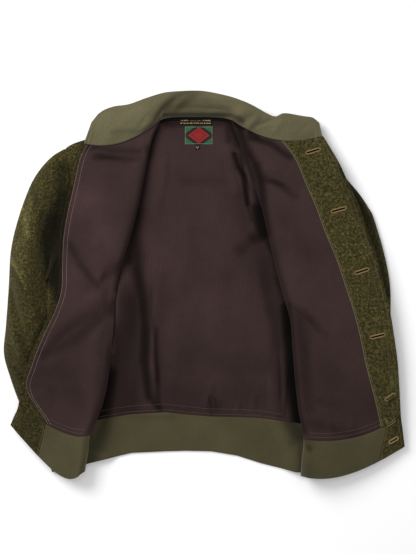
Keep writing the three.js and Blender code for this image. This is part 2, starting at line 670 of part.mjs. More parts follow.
const slits = steps(0, BUTTONHOLES.length - 1, BUTTONHOLES.length - 1).map(slitCutter);

// Cuts the buttonholes that pass through a piece.
function withSlits(geometry, tab) {
  let solid = solidOf(geometry);
  slits.forEach((slit, i) => {
    if (BUTTONHOLES.tab[i] === tab) solid = solid.subtract(slit);
  });
  return geometryOf(solid);
}

function addBack() {
  const across = () => steps(0, 1, BACK_COLUMNS);
  const rows = steps(0, 1, 20);
  add("back_shell", wall(backPoint, -1, rows, across, -WOOL, 0), OLIVE_WOOL);
  const lined = wall(backLiningPoint, -1, rows, across, SEAM_GAP, SEAM_GAP + LINING);
  add("back_lining", lined, BROWN_LINING);
  const band = wall(backBandPoint, -1, steps(0, 1, 3), across, -WOOL, SEAM_GAP + LINING);
  add("hem_rib_back", band, OLIVE_RIB);
}

function addFront(name, front) {
  const surface = surfaceOf(front);
  const buttonholes = front === LEFT;
  const inside = [...UNDER_STATIONS, ...FOLD_STATIONS];
  const liningEnd = (at) => sample(front.rows, "liningEnd", Math.min(at, HEM_ROW));
  const faced = (at) => upperBetween(liningEnd(at) + SHARE_GAP, 1, 3);
  const lined = (at) => [...inside, ...upperBetween(0, liningEnd(at), 6)];
  const whole = (at) => [...CURL_STATIONS, ...lined(at), ...faced(at)];

  const shell = wall(surface, front.facing, PANEL_ROWS, whole, -WOOL, 0);
  add(name + "_front_shell", buttonholes ? withSlits(shell, 0) : shell, OLIVE_WOOL);
  const lining = wall(surface, front.facing, PANEL_ROWS, lined, SEAM_GAP, SEAM_GAP + LINING);
  add(name + "_front_lining", lining, BROWN_LINING);

  const ribEnd = (at) => sample(front.rows, "ribEnd", at);
  const ribbed = (at) => [...CURL_STATIONS, ...inside, ...upperBetween(0, ribEnd(at), 6)];
  const rib = wall(surface, front.facing, BAND_ROWS, ribbed, -WOOL, SEAM_GAP + LINING);
  add("hem_rib_" + name, rib, OLIVE_RIB);
  const tabbed = (at) => upperBetween(ribEnd(at) + SHARE_GAP, 1, 3);
  const tab = wall(surface, front.facing, BAND_ROWS, tabbed, -WOOL, SEAM_GAP + LINING);
  add("hem_tab_" + name, buttonholes ? withSlits(tab, 1) : tab, OLIVE_WOOL);

  if (!buttonholes) return;
  const facing = wall(surface, front.facing, PANEL_ROWS, faced, SEAM_GAP, SEAM_GAP + FACING);
  add(name + "_front_facing", withSlits(facing, 0), OLIVE_WOOL);
}

function addSleeves() {
  [
    ["right", RIGHT_SLEEVE, RIGHT_CUFF],
    ["left", LEFT_SLEEVE, LEFT_CUFF],
  ].forEach(([name, sleeve, cuff]) => {
    sleeve.side = name;
    add(name + "_sleeve", tube(sleeve, steps(0, sleeve.length - 1, 14), WOOL), OLIVE_WOOL);
    add(name + "_cuff", tube(cuff, steps(0, cuff.length - 1, 3), WOOL), OLIVE_RIB);
  });
}

function addCollar() {
  const stations = steps(0, COLLAR.length - 1, 26);
  const half = (WOOL + LINING + SEAM_GAP) / 2;
  add("collar", wall(collarPoint, 1, steps(0, 1, 5), () => stations, -half, half), KHAKI_RIB);
}

// A flat label laid on the lining of the back.
function addLabels() {
  for (let i = 0; i < LABELS.length; i += 1) {
    const [fromX, toX] = [LABELS.fromX[i], LABELS.toX[i]];
    const [fromY, toY] = [LABELS.fromY[i], LABELS.toY[i]];
    const geometry = new THREE.BoxGeometry(toX - fromX, toY - fromY, LABEL);
    geometry.translate((fromX + toX) / 2, (fromY + toY) / 2, BACK_STACK + SEAM_GAP + LABEL / 2);
    add(LABELS.name[i], geometry, LABELS.colour[i]);
  }
}

// A four-hole button with a raised rim, its face away from the cloth it is sewn to.
function buttonSolid() {
  const { radius, rim, thickness, dish, hole, pitch } = BUTTON;
  const profile = [
    [0, 0],
    [radius - 1, 0],
    [radius, 1],
    [radius, thickness - 0.8],
    [radius - 0.8, thickness],
    [radius - rim - 0.4, thickness],
    [radius - rim - 1.2, thickness - dish],
    [0, thickness - dish],
  ].map(([x, y]) => new THREE.Vector2(x, y));
  const body = new THREE.LatheGeometry(profile, 12);
  body.rotateX(Math.PI / 2);
  let solid = solidOf(body);
  [0, 1, 2, 3].forEach((quarter) => {
    const drill = new THREE.CylinderGeometry(hole, hole, 3 * thickness, 5);
    drill.rotateX(Math.PI / 2);
    const turn = (quarter * Math.PI) / 2 + Math.PI / 4;
    drill.translate(pitch * Math.cos(turn), pitch * Math.sin(turn), 0);
    solid = solid.subtract(solidOf(drill));
  });
  return geometryOf(solid);
}

function addButtons() {
  const button = buttonSolid();
  BUTTON_ROWS.forEach((at, i) => {
    const surface = surfaceOf(RIGHT);
    const edge = surface(at, 3);
    const bend = surface(at, 2.5);
    const share = BUTTON.inset / edge.distanceTo(bend);
    const station = 3 - 0.5 * share;
    const place = movedOut(surface, RIGHT.facing, at, station, -WOOL - BUTTON.gap);
    const down = movedOut(surface, RIGHT.facing, at, station, -WOOL - BUTTON.gap - 1).sub(place).normalize();
    const geometry = button.clone();
    geometry.applyQuaternion(new THREE.Quaternion().setFromUnitVectors(new THREE.Vector3(0, 0, 1), down));
    geometry.translate(place.x, place.y, place.z);
    add("button_" + (i + 1), geometry, 0x2a211a, 0.4);
  });
}

addBack();
addFront("right", RIGHT);
addFront("left", LEFT);
addSleeves();
addCollar();
addLabels();
addButtons();

export default jacket;
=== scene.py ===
# A waist-length wool jacket with a knit collar and hem, laid on its back with both fronts swung open.
# The tables and surfaces are those of the solids, in millimetres. Each cloth piece is a thin shell made on
# them, on a finer grid and with soft creases. +Y runs towards the collar and +X is the wearer's left.
import math
from functools import partial

import bpy
import numpy as np
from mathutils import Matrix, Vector


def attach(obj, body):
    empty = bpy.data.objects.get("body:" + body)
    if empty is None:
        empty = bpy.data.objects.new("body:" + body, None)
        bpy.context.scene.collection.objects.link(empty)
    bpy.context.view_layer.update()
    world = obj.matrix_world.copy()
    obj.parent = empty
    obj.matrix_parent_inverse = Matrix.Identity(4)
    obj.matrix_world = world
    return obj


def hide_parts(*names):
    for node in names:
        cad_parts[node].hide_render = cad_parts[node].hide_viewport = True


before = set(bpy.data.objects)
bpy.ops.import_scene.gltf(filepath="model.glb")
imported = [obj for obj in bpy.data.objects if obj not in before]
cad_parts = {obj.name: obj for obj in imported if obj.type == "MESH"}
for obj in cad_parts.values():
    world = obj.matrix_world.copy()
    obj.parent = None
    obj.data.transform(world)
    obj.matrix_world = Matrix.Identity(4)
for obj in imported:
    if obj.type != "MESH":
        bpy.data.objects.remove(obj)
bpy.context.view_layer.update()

# Cloth thicknesses and gaps, and heights of the lining's and the facing's upper face over the wool
WOOL, LINING, FACING, SEAM_GAP, BAND_GAP, LABEL = 2.4, 1.0, 2.0, 0.3, 0.7, 0.6
LINING_TOP, FACING_TOP = SEAM_GAP + LINING, SEAM_GAP + FACING
BACK_STACK = WOOL + SEAM_GAP + LINING
LOWER_LEG = BACK_STACK + SEAM_GAP + LINING + SEAM_GAP
# How far the body rises over the sleeves, beside what margin and ramp, and from what height over what length
SLEEVE_LIFT = 9.2
BACK_RISE = dict(margin=12, ramp=34, top=48, length=34)
FRONT_RISE = dict(margin=20, ramp=84, top=112, length=76)
LEAST_SPAN, CURL_RADIUS, SIDE_GAP = 24, (LOWER_LEG - WOOL) / 2, 0.8
# Rows of the fronts at the shoulder's end, the hem seam and the hem, and both ends of their upper leg
SHOULDER_ROW, HEM_ROW, LAST_ROW = 2, 12, 14
UPPER, EDGE = 2, 3
ROW_GAP, SHARE_GAP = 0.004, 0.002
ROOT = "root"
# The table's origin in the row frame
MIDDLE = np.array([-0.4, -0.2, 0.0])


def table(columns, rows):
    values = np.array(rows, float)
    return {name: values[:, i] for i, name in enumerate(columns.split())}


SLEEVE_COLUMNS = "outerX outerY innerX innerY roll rollEnd flat"
RIGHT_SLEEVE = table(SLEEVE_COLUMNS, [
    [-258.4, 250, -286.4, 12, 9, 0.6, 7.7], [-281, 236, -293, 5, 17, 0.6, 7.9],
    [-304, 211, -289, -12, 25, 0.6, 8], [-323, 178, -272, -36, 31, 0.58, 8],
    [-344, 119, -247, -60, 35, 0.55, 8.1], [-357, 62, -226, -86, 36, 0.52, 8.1],
    [-361, -5, -211, -124, 35, 0.5, 8.1], [-366, -75, -208, -170, 31, 0.48, 8.1],
    [-370, -127, -211, -210, 25, 0.46, 8.1], [-358, -173, -218, -240, 19, 0.44, 8.1],
    [-341, -220, -221, -262, 15, 0.42, 8.1], [-321, -266, -219, -284, 11, 0.4, 8.1],
    [-303, -303, -213, -303, 8.6, 0.4, 8],
])
LEFT_SLEEVE = table(SLEEVE_COLUMNS, [
    [207.6, 245, 242.6, 12, 9, 0.6, 7.7], [236, 228, 250, 5, 13, 0.6, 7.9], [266, 191, 246, -12, 15, 0.6, 8],
    [287, 166, 230, -38, 16, 0.56, 8], [304, 140, 211, -66, 17, 0.52, 8.1],
    [313, 122, 199, -92, 18, 0.48, 8.1], [332, 58, 178, -125, 18, 0.46, 8.1],
    [343, -1, 164, -162, 17, 0.45, 8.1], [344, -66, 159, -197, 16, 0.44, 8.1],
    [341, -131, 159, -231, 15, 0.44, 8.1], [331, -186, 163, -257, 13, 0.43, 8.1],
    [317, -233, 170, -279, 11, 0.42, 8.1], [302, -272, 181, -299, 8.6, 0.4, 8],
])
RIGHT_CUFF = table(SLEEVE_COLUMNS, [
    [-302.6, -303.7, -212.9, -303.6, 8.4, 0.4, 8], [-293, -318, -212, -307, 8, 0.4, 8],
    [-287, -333, -207, -313, 8, 0.4, 8], [-281, -347, -201, -319, 8, 0.4, 8],
])
LEFT_CUFF = table(SLEEVE_COLUMNS, [
    [301.8, -272.7, 181.1, -299.7, 8.4, 0.4, 8], [286, -289, 186, -309, 8, 0.4, 8],
    [277, -305, 186, -322, 8, 0.4, 8], [271, -321, 184, -337, 8, 0.4, 8],
])

FRONT_COLUMNS = (
    "shoulderX sideY foldX foldY bendX bendY edgeX edgeY radius midZ edgeZ pull curl liningEnd ribEnd"
)
RIGHT_FRONT = table(FRONT_COLUMNS, [
    [-104, 298, -80, 305, -153, 239, -222, 259, 4.6, 17, 17, 1, 0.15, 0.955, 0.7],
    [-172, 276, -95, 275, -163, 234, -230, 243, 5.2, 19, 20, 1, 0.15, 0.955, 0.7],
    [-255.5, 248, -104, 239, -174, 219, -237, 221, 6, 21, 24, 1, 0.15, 0.955, 0.7],
    [-244, 184, -113, 191, -180, 182, -246, 178, 7, 22, 26, 1, 0.15, 0.955, 0.7],
    [-243, 128, -124, 137, -191, 134, -256, 134, 8, 24, 27, 1, 0.15, 0.955, 0.7],
    [-257, 68, -139, 82, -202, 82, -264, 86, 9, 26, 27, 1, 0.15, 0.955, 0.7],
    [-284, 12, -156, 26, -210, 30, -266, 37, 9.5, 28, 26, 1, 0.15, 0.955, 0.7],
    [-285, -38, -165, -27, -215, -22, -267, -7, 10, 30, 26, 1, 1, 0.955, 0.7],
    [-283, -85, -168, -79, -222, -72, -280, -49, 10.5, 30, 28, 1, 1, 0.955, 0.7],
    [-280, -140, -173, -135, -234, -123, -302, -94, 11, 29, 31, 1, 1, 0.955, 0.7],
    [-274, -190, -180, -190, -245, -179, -322, -144, 12, 28, 33, 1, 1, 0.955, 0.7],
    [-270, -236, -193, -236, -248, -234, -335, -188, 12.5, 27, 29, 1, 1, 0.94, 0.7],
    [-267, -271, -210, -276, -252, -283, -342, -227, 12.5, 26, 24, 1, 1, 0.65, 0.68],
    [-265, -306, -214, -309, -254, -330, -349, -243, 12.5, 25, 20, 1.2, 1, 0.65, 0.72],
    [-263, -341, -220, -343, -259, -371, -356, -259, 12.5, 24, 16, 1.5, 1, 0.65, 0.76],
])
LEFT_FRONT = table(FRONT_COLUMNS, [
    [72, 297, 50, 304, 129, 244, 218, 272, 4.6, 17, 20, 1, 0.15, 0.56, 0.7],
    [137, 272, 61, 276, 149, 234, 233, 247, 5.2, 20, 22, 1, 0.15, 0.55, 0.7],
    [204.5, 243, 74, 239, 162, 219, 247, 223, 6, 22, 24, 1, 0.15, 0.55, 0.7],
    [190, 187, 90, 191, 177, 182, 263, 188, 7, 24, 25, 1, 0.15, 0.55, 0.7],
    [190, 130, 107, 141, 196, 137, 282, 148, 8, 26, 25, 1, 0.15, 0.55, 0.7],
    [207, 68, 120, 86, 210, 89, 298, 100, 9, 27, 25, 1, 0.15, 0.57, 0.7],
    [240, 12, 133, 30, 223, 41, 314, 60, 9.5, 28, 25, 1, 0.15, 0.6, 0.7],
    [245, -35, 146, -18, 236, -11, 327, 10, 10, 28, 25, 1, 1, 0.62, 0.7],
    [246, -81, 159, -66, 251, -62, 339, -42, 10.5, 28, 24, 1, 1, 0.635, 0.7],
    [244, -131, 163, -116, 259, -112, 347, -88, 11, 28, 23, 1, 1, 0.66, 0.7],
    [242, -177, 167, -166, 262, -166, 354, -136, 11.5, 28, 22, 1, 1, 0.69, 0.7],
    [239, -223, 173, -222, 270, -225, 358, -188, 12, 27, 20, 1, 1, 0.735, 0.7],
    [236, -271, 183, -284, 292, -294, 361, -240, 12, 26, 17, 1, 1, 0.75, 0.8],
    [235, -308, 180, -318, 276, -332, 365, -270, 12, 25, 14, 1.1, 1, 0.8, 0.8],
    [234, -344, 178, -351, 259, -365, 369, -299, 12, 24, 11, 1.2, 1, 0.8, 0.8],
])

ARMHOLES = {
    "right": dict(tipX=-256, tipY=250, pitX=-284, pitY=12, bow=26),
    "left": dict(tipX=205, tipY=245, pitX=240, pitY=12, bow=-31),
}
SIDE_SEAMS = table("y right left", [
    [12, -284, 240], [-57, -285, 246], [-136, -280, 244],
    [-213, -272, 240], [-271, -267, 236], [-344, -263, 234],
])
BACK_ROWS = table("y", [[243], [193], [134], [73], [12], [-57], [-136], [-213], [-271]])
BACK_RISES = table("across shoulder hem", [
    [0, 7, 0], [0.13, 27, 21], [0.26, 46, 31], [0.388, 65, 35], [0.46, 66.3, 31],
    [0.555, 66.3, 27], [0.652, 65, 26], [0.74, 46, 24], [0.87, 23, 16], [1, 2, 0],
])
BACK_BAND_EDGE = table("across edgeY", [
    [0, -342], [0.13, -326], [0.26, -311], [0.388, -308], [0.46, -307],
    [0.555, -308], [0.652, -316], [0.74, -330], [0.87, -346], [1, -347],
])
COLLAR = table("neck freeX freeY freeZ crest", [
    [0.01, -207, 299, 13, 3], [0.13, -191, 317, 9, 5], [0.29, -168, 327, 9, 7], [0.48, -139, 331, 12, 9],
    [0.67, -109, 341, 17, 13], [0.83, -85, 348, 22, 17], [0.97, -70, 351, 26, 21], [1.12, -49, 353, 28, 24],
    [1.28, -26, 354, 28, 25], [1.5, 1, 353, 28, 25], [1.72, 33, 347, 27, 24], [1.88, 65, 338, 26, 21],
    [2.05, 92, 326, 23, 15], [2.22, 114, 314, 20, 11], [2.37, 131, 308, 18, 8], [2.55, 148, 314, 18, 8],
    [2.77, 180, 309, 17, 7], [2.9, 199, 306, 16, 5], [2.99, 211, 296, 16, 2],
])
# Depth and half width of the grooves that topstitching pulls into an edge, and how far in they run
CHANNEL = dict(depth=0.9, width=1.7)
RIGHT_CHANNELS, LEFT_CHANNELS = (6.5, 14.0), (7.0, 16.0)
COLLAR_SEAM = dict(gap=1.4, rise=1.6, blend=0.12)

# Ends of the buttonholes in plan
FACING_HOLES = [
    (188, 241, 212, 248), (234, 133, 259, 140), (277, 20, 301, 28), (306, -98, 331, -92),
    (333, -212, 350, -202),
]
TAB_HOLE = (341, -291, 356, -283)
BUTTONHOLES = [*FACING_HOLES, TAB_HOLE]
# Places of the labels on the back: left, right, lower and upper edge
LABELS = {
    "label_main": (-36, 16, 258, 292),
    "label_strip": (-46, 14, 295, 305),
    "label_size": (-17, -8, 249, 256.5),
}

# Soft folds that the solids have too: line in plan, half width and rise
BACK_FOLDS = [
    (-92, 20, -96, -235, 17, 5.5), (-52, -60, -62, -215, 14, 1.5), (12, -190, 14, -243, 7, 3),
    (30, -200, 27, -243, 6, 2), (44, 246, 60, 170, 9, 4),
]
RIGHT_FRONT_FOLDS = [
    (-188, 244, -140, 240, 11, 2), (-186, 224, -135, 218, 12, -2), (-270, -105, -178, -60, 22, -4),
    (-262, -150, -190, -150, 30, 3), (-205, 60, -160, -20, 26, 2.5),
]
LEFT_FRONT_FOLDS = [
    (96, 196, 172, 170, 13, -3.5), (100, 168, 190, 140, 18, 2.5), (70, 262, 84, 180, 12, 3.5),
    (170, -100, 260, -130, 30, -2.5), (190, -230, 300, -220, 22, 2.5),
]

# Finer creases: line in plan, sideways bow, half width, rise, and lean of the crest
BACK_CREASES = [
    (-70, 250, -92, 120, 6, 9, 1.4, 0.5), (60, 250, 84, 160, -5, 6, 3.4, -0.6),
    (84, 160, 106, 60, -6, 8, 1.6, -0.5), (98, 40, 128, -120, -5, 11, 1.8, -0.4),
    (-30, 120, -46, -20, 7, 15, 1, 0.2), (40, 60, 30, -110, -8, 18, 1.1, -0.2),
    (-104, 20, -97, -120, -4, 7, 2.6, -0.9), (-97, -90, -95, -214, 2, 7, 3.4, -0.9),
    (-98, -196, -86, -238, 2, 6, 2.6, -0.5), (-128, -120, -138, -226, 3, 12, 1.4, 0.3),
    (134, -120, 140, -244, -2, 7, 3, 0.5), (151, -150, 147, -240, -1, 3.5, 2.4, 0.3),
    (122, -170, 124, -246, 2, 5, 1.4, 0.3), (4, -205, 2, -246, 1, 4, 1.6, 0.3),
    (22, -212, 20, -246, -1, 3.5, 1.5, -0.3), (-34, -222, -36, -248, 0, 5, 0.9, 0.2),
    (64, -214, 60, -246, 1, 5, 1.1, 0.2), (96, -200, 88, -244, -2, 6, 1.2, -0.3),
    (-140, -205, -132, -238, 1, 6, 1, 0.3), (20, 232, 34, 196, 3, 8, 0.9, 0.3),
    (-60, 214, -30, 176, 4, 12, 0.7, 0.1),
]
RIGHT_FRONT_CREASES = [
    (-218, 252, -176, 247, 3, 5, -1.3, 0.3), (-204, 244, -168, 240, 2, 5, 1.5, 0.4),
    (-200, 234, -146, 230, -2, 6, -1.8, 0.3), (-196, 222, -136, 218, 3, 7, 1.2, 0.4),
    (-196, 206, -146, 200, 3, 8, 0.8, 0.4), (-220, 150, -160, 128, 5, 14, 1.4, 0.2),
    (-238, 106, -170, 70, -6, 15, 1.4, 0.3), (-250, 78, -194, -4, 6, 8, -2.6, 0.4),
    (-240, 40, -206, -10, -4, 11, 1.3, 0.3), (-190, 6, -158, 32, 2, 9, -2.2, 0.3),
    (-206, -12, -160, -34, -3, 14, 3.2, 0.3), (-284, -122, -170, -40, 7, 17, -3.6, 0.3),
    (-290, -150, -196, -88, 6, 18, 2.4, 0.4), (-300, -178, -226, -206, 6, 14, 1.4, 0.3),
    (-236, -160, -206, -250, 3, 12, -1.4, 0.2), (-326, -214, -284, -196, 3, 9, 1.2, 0.3),
    (-128, 210, -122, 150, 3, 7, -1.4, 0.3), (-186, -110, -196, -190, 4, 11, 1.5, 0.3),
    (-292, -160, -262, -224, 3, 12, -1.1, 0.2),
]
LEFT_FRONT_CREASES = [
    (60, 302, 63, 281, 1, 8, -4.6, 0.1), (74, 300, 78, 268, 3, 6, 2.6, 0.5),
    (84, 268, 156, 238, 7, 6, -2.4, 0.4), (92, 256, 150, 230, 7, 7, 1.6, 0.4),
    (84, 236, 96, 190, -3, 6, 1.8, 0.4), (100, 190, 124, 190, 4, 5, -2.6, 0.5),
    (120, 190, 166, 164, 4, 5, -2.6, 0.5), (104, 180, 164, 154, 6, 8, 1.8, 0.4),
    (104, 212, 150, 204, 4, 9, 1.3, 0.3), (124, 150, 160, 96, 6, 13, -1.3, 0.2),
    (130, 96, 176, 70, 4, 11, 1.5, 0.4), (150, 60, 196, 20, 4, 15, 1.2, 0.3),
    (158, -40, 222, -90, 6, 8, -2.8, 0.5), (168, -30, 230, -66, 5, 12, 2.2, 0.4),
    (176, -90, 196, -180, 4, 13, -1.6, 0.3), (170, -140, 246, -168, 5, 13, 1.2, 0.3),
    (204, -210, 248, -228, -3, 10, -1.8, 0.3), (196, -244, 204, -276, 2, 6, 1.3, 0.3),
    (232, -246, 236, -284, -2, 8, 1.2, 0.2), (272, -238, 268, -276, 2, 8, 1.1, 0.3),
    (240, 200, 250, 150, 2, 9, 0.9, 0.3), (276, 90, 292, 40, -3, 10, -0.9, 0.2),
    (318, -20, 326, -90, 3, 10, 0.8, 0.2),
]
# Creases of the sleeves: from and to as (row, share of the width), half width, rise and lean
RIGHT_SLEEVE_CREASES = [
    ((1.6, 0.3), (5, 0.5), 11, -5, 0.5), ((4.6, 0.46), (8.2, 0.6), 12, -5.5, 0.5),
    ((2.2, 0.1), (4.6, 0.24), 10, 2.6, 0.4), ((5.9, 0.03), (7.9, 0.36), 11, -6, 0.6),
    ((6.9, 0.04), (8.6, 0.42), 12, 4, 0.5), ((8.1, 0.05), (9.3, 0.44), 10, -4, 0.5),
    ((8.9, 0.1), (10.2, 0.52), 10, 2.6, 0.4), ((9.9, 0.08), (10.9, 0.6), 9, -2.6, 0.4),
    ((10.9, 0.18), (11.6, 0.74), 8, 1.8, 0.3), ((3.4, 0.62), (6.2, 0.84), 13, 2.2, 0.2),
    ((7.4, 0.66), (10, 0.8), 12, -1.8, 0.2), ((0.7, 0.2), (2, 0.62), 10, 2, 0.4),
    ((2.9, 0.02), (4.8, 0.1), 9, -2.4, 0.3),
]
LEFT_SLEEVE_CREASES = [
    ((1.4, 0.2), (4.4, 0.44), 12, -2.4, 0.4), ((4.2, 0.06), (5.8, 0.34), 11, -2.6, 0.5),
    ((5.6, 0.04), (7.6, 0.4), 11, 2.2, 0.4), ((7.4, 0.03), (8.8, 0.36), 10, -2.4, 0.4),
    ((8.8, 0.08), (10.4, 0.52), 10, 2, 0.3), ((10.2, 0.06), (11.4, 0.56), 9, -1.8, 0.3),
    ((2.6, 0.6), (6, 0.82), 14, 1.4, 0.2),
]
# Creases of the collar: from and to as (row, share from seam to free edge), half width, rise and lean
COLLAR_CREASES = [
    ((5.3, 0.02), (7.7, 0.95), 14, -4.4, 0.7), ((6.6, 0.05), (8.4, 0.9), 12, 3.2, 0.3),
    ((2.2, 0.1), (3.4, 0.8), 16, 1.6, 0.2), ((4.3, 0.15), (4.9, 0.6), 12, -1.2, 0.2),
    ((9.3, 0.3), (11.2, 0.42), 9, -1.2, 0.2), ((11.5, 0.05), (12.3, 0.85), 10, 2, 0.3),
    ((12.7, 0.1), (13.9, 0.9), 9, -2.6, 0.5), ((14.3, 0.15), (15, 0.8), 10, 1.8, 0.3),
    ((15.8, 0.2), (16.6, 0.75), 8, -1.2, 0.3),
]

CREASE_GAIN = 1.9
# Lengths that a row and the whole width stand for in the creases of sleeves and collar, and their bow
SLEEVE_SCALE, COLLAR_SCALE, SLEEVE_BOW, COLLAR_BOW = (50, 160), (30, 80), 4, 3
# Small unevenness of each cloth: rise, size of its lumps and seed, on a lattice that repeats
FRONT_NOISE = ((1.0, 37, 3), (0.35, 13, 4))
BACK_NOISE = ((0.9, 41, 5), (0.3, 14, 6))
COLLAR_NOISE = ((0.6, 26, 7), (0.25, 9, 8))
SLEEVE_NOISE = ((0.9, 30, 9), (0.35, 11, 10))
PATCH_NOISE = ((0.35, 17, 11),)
LATTICE = 64

# Painted shade on the cloth along folds, creases and hollows where light would not reach, and painted
# highlights where the depth is negative: line in plan, half width and depth of tone
BACK_PAINTED_SHADE_AND_LIGHT = [
    (-92, 290, -104, 236, 9, 1.4), (-106, 236, -122, 137, 10, 1.1), (-122, 137, -138, 44, 12, 1.3),
    (-130, 92, -124, 28, 13, 1.2), (-124, 28, -113, -28, 11, 1.4), (-113, -28, -109, -83, 10, 1.6),
    (-109, -83, -111, -143, 11, 1.7), (-111, -143, -101, -207, 10, 1.6), (-101, -207, -82, -231, 7, 1.2),
    (-82, 30, -92, -32, 3.5, -0.1), (-92, -32, -97, -83, 3.5, -0.2), (-97, -83, -99, -143, 3, -0.3),
    (-99, -143, -96, -203, 3, -0.3), (-88, -83, -91, -122, 4, 0.7), (-91, -122, -86, -180, 4.5, 0.9),
    (-86, -180, -83, -222, 5, 0.6), (-132, -40, -140, -240, 30, 0.65), (9, -208, 13, -230, 3, 1.1),
    (20, -212, 21, -230, 3, 1.1), (32, -216, 27, -232, 3, 0.6), (58, -200, 50, -228, 5, 0.35),
    (86, -190, 76, -226, 6, 0.35), (-178, -168, -192, -250, 16, 2.2), (-164, -20, -168, -125, 5, -0.6),
    (36, 300, 62, 300, 9, 0.6), (52, 292, 66, 262, 12, 1.3), (42, 298, 46, 266, 6, 0.8),
    (56, 240, 63, 217, 4.5, 2), (63, 217, 72, 200, 4.5, 2.4), (72, 200, 80, 147, 4.5, 2.2),
    (80, 147, 88, 118, 5, 0.9), (76, 214, 83, 195, 3.5, -0.3), (83, 195, 89, 150, 3.5, -0.3),
    (74, 258, 90, 220, 9, 1.7), (90, 220, 100, 188, 9, 1.7), (100, 188, 105, 140, 9, 1.8),
    (103, 140, 111, 92, 13, 2.6), (113, 92, 131, 58, 11, 1.3), (131, 58, 137, 12, 12, 1),
    (137, 12, 154, -38, 13, 1.2), (94, 84, 110, 41, 22, 0.5), (110, 41, 129, -51, 24, 0.6),
    (129, -51, 134, -95, 20, 0.35), (120, 96, 92, 84, 14, 1.3), (92, 84, 68, 64, 13, 0.6),
    (154, -42, 159, -107, 12, 3.5), (159, -107, 163, -177, 12, 3.5), (163, -177, 174, -253, 12, 3.5),
    (132, -60, 140, -246, 15, 0.55), (-40, -150, 130, -150, 44, 0.16), (-60, -215, 140, -215, 44, 0.3),
    (14, -206, 14, -246, 5, 0.6), (-150, -246, -60, -240, 12, 0.45), (70, 150, 96, 40, 22, 0.25),
    (-40, 190, 40, 190, 8, 0.15), (-70, 296, 50, 297, 6, 0.6),
]
RIGHT_PAINTED_SHADE_AND_LIGHT = [
    (-222, 252, -176, 247, 6, 0.55), (-176, 247, -120, 244, 7, 0.5), (-200, 234, -146, 229, 7, 0.55),
    (-146, 229, -110, 232, 6, 0.35), (-104, 250, -98, 226, 8, 0.6), (-106, 226, -124, 137, 12, 0.45),
    (-124, 137, -150, 40, 15, 0.45), (-248, 73, -228, 36, 7, 0.4), (-228, 36, -196, -2, 7, 0.48),
    (-188, 8, -164, 26, 6, 0.55), (-164, 26, -148, 46, 10, 0.6), (-150, 40, -146, -20, 12, 0.4),
    (-165, -38, -196, -66, 13, 0.75), (-196, -66, -240, -103, 13, 0.7), (-240, -103, -292, -128, 12, 0.6),
    (-180, -50, -188, -120, 13, 0.35), (-164, -20, -168, -125, 5, -0.6), (-172, -120, -196, -256, 17, 0.45),
    (-300, -170, -230, -230, 50, 0.22), (-250, -290, -220, -290, 12, 0.3), (-252, 236, -262, 100, 6, 0.18),
    (-215, 150, -182, 72, 30, -0.18), (-218, -22, -170, -30, 6, -0.14),
]
LEFT_PAINTED_SHADE_AND_LIGHT = [
    (57, 298, 70, 289, 8, 2.4), (50, 309, 66, 268, 3.5, 0.8), (66, 268, 83, 227, 3.5, 0.9),
    (83, 227, 100, 180, 3.5, 0.9), (100, 180, 110, 152, 3.5, 0.9), (110, 152, 119, 112, 3.5, 0.8),
    (84, 279, 98, 269, 6, 1.3), (74, 296, 84, 283, 4.5, -0.22), (66, 284, 80, 236, 8, 1.2),
    (84, 270, 122, 258, 6, 1), (122, 258, 158, 234, 6, 0.9), (60, 280, 74, 239, 7, 1.2),
    (74, 239, 90, 191, 7, 1.2), (90, 191, 107, 141, 6, 0.9), (80, 244, 94, 219, 8, 1.2),
    (94, 219, 104, 188, 9, 1.5), (104, 188, 108, 141, 8, 1.3), (108, 141, 116, 92, 8, 1.4),
    (116, 92, 134, 28, 8, 0.8), (134, 28, 160, -66, 8, 0.8), (104, 189, 124, 190, 5, 0.8),
    (124, 190, 144, 180, 5, 0.7), (144, 180, 168, 162, 6, 0.4), (155, -36, 161, -90, 6, 1.2),
    (161, -90, 173, -230, 6, 1.1), (172, -235, 180, -268, 9, 1.1), (164, -44, 196, -68, 7, 0.55),
    (196, -68, 222, -92, 8, 0.35), (172, -60, 190, -225, 18, 0.55), (206, -212, 246, -226, 10, 0.35),
    (186, -150, 280, -230, 60, 0.26), (180, -250, 280, -276, 12, 0.45), (150, 130, 190, 60, 16, 0.14),
    (186, 240, 286, 90, 7, 0.14),
]
BAND_PAINTED_SHADE = [
    (-180, -240, -196, -300, 13, 0.9), (-196, -300, -212, -350, 11, 0.5), (158, -248, 176, -280, 15, 1.25),
    (175, -262, 178, -345, 3.5, 0.7), (162, -290, 188, -294, 8, 0.5), (178, -300, 184, -350, 14, 0.32),
    (188, -296, 192, -300, 5.5, 1), (-170, -246, -60, -246, 5, 0.2),
]
COLLAR_PAINTED_SHADE_AND_LIGHT = [
    (-22, 354, -44, 336, 15, 0.62), (-44, 336, -72, 318, 15, 0.62), (-72, 318, -88, 308, 12, 0.45),
    (-60, 312, -110, 282, 6, 0.5), (-110, 282, -170, 280, 5, 0.25), (-90, 345, 100, 330, 5, 0.12),
    (-74, 311, 48, 311, 4, 1.3), (48, 311, 70, 300, 5, 1), (20, 340, 60, 330, 12, -0.1),
]
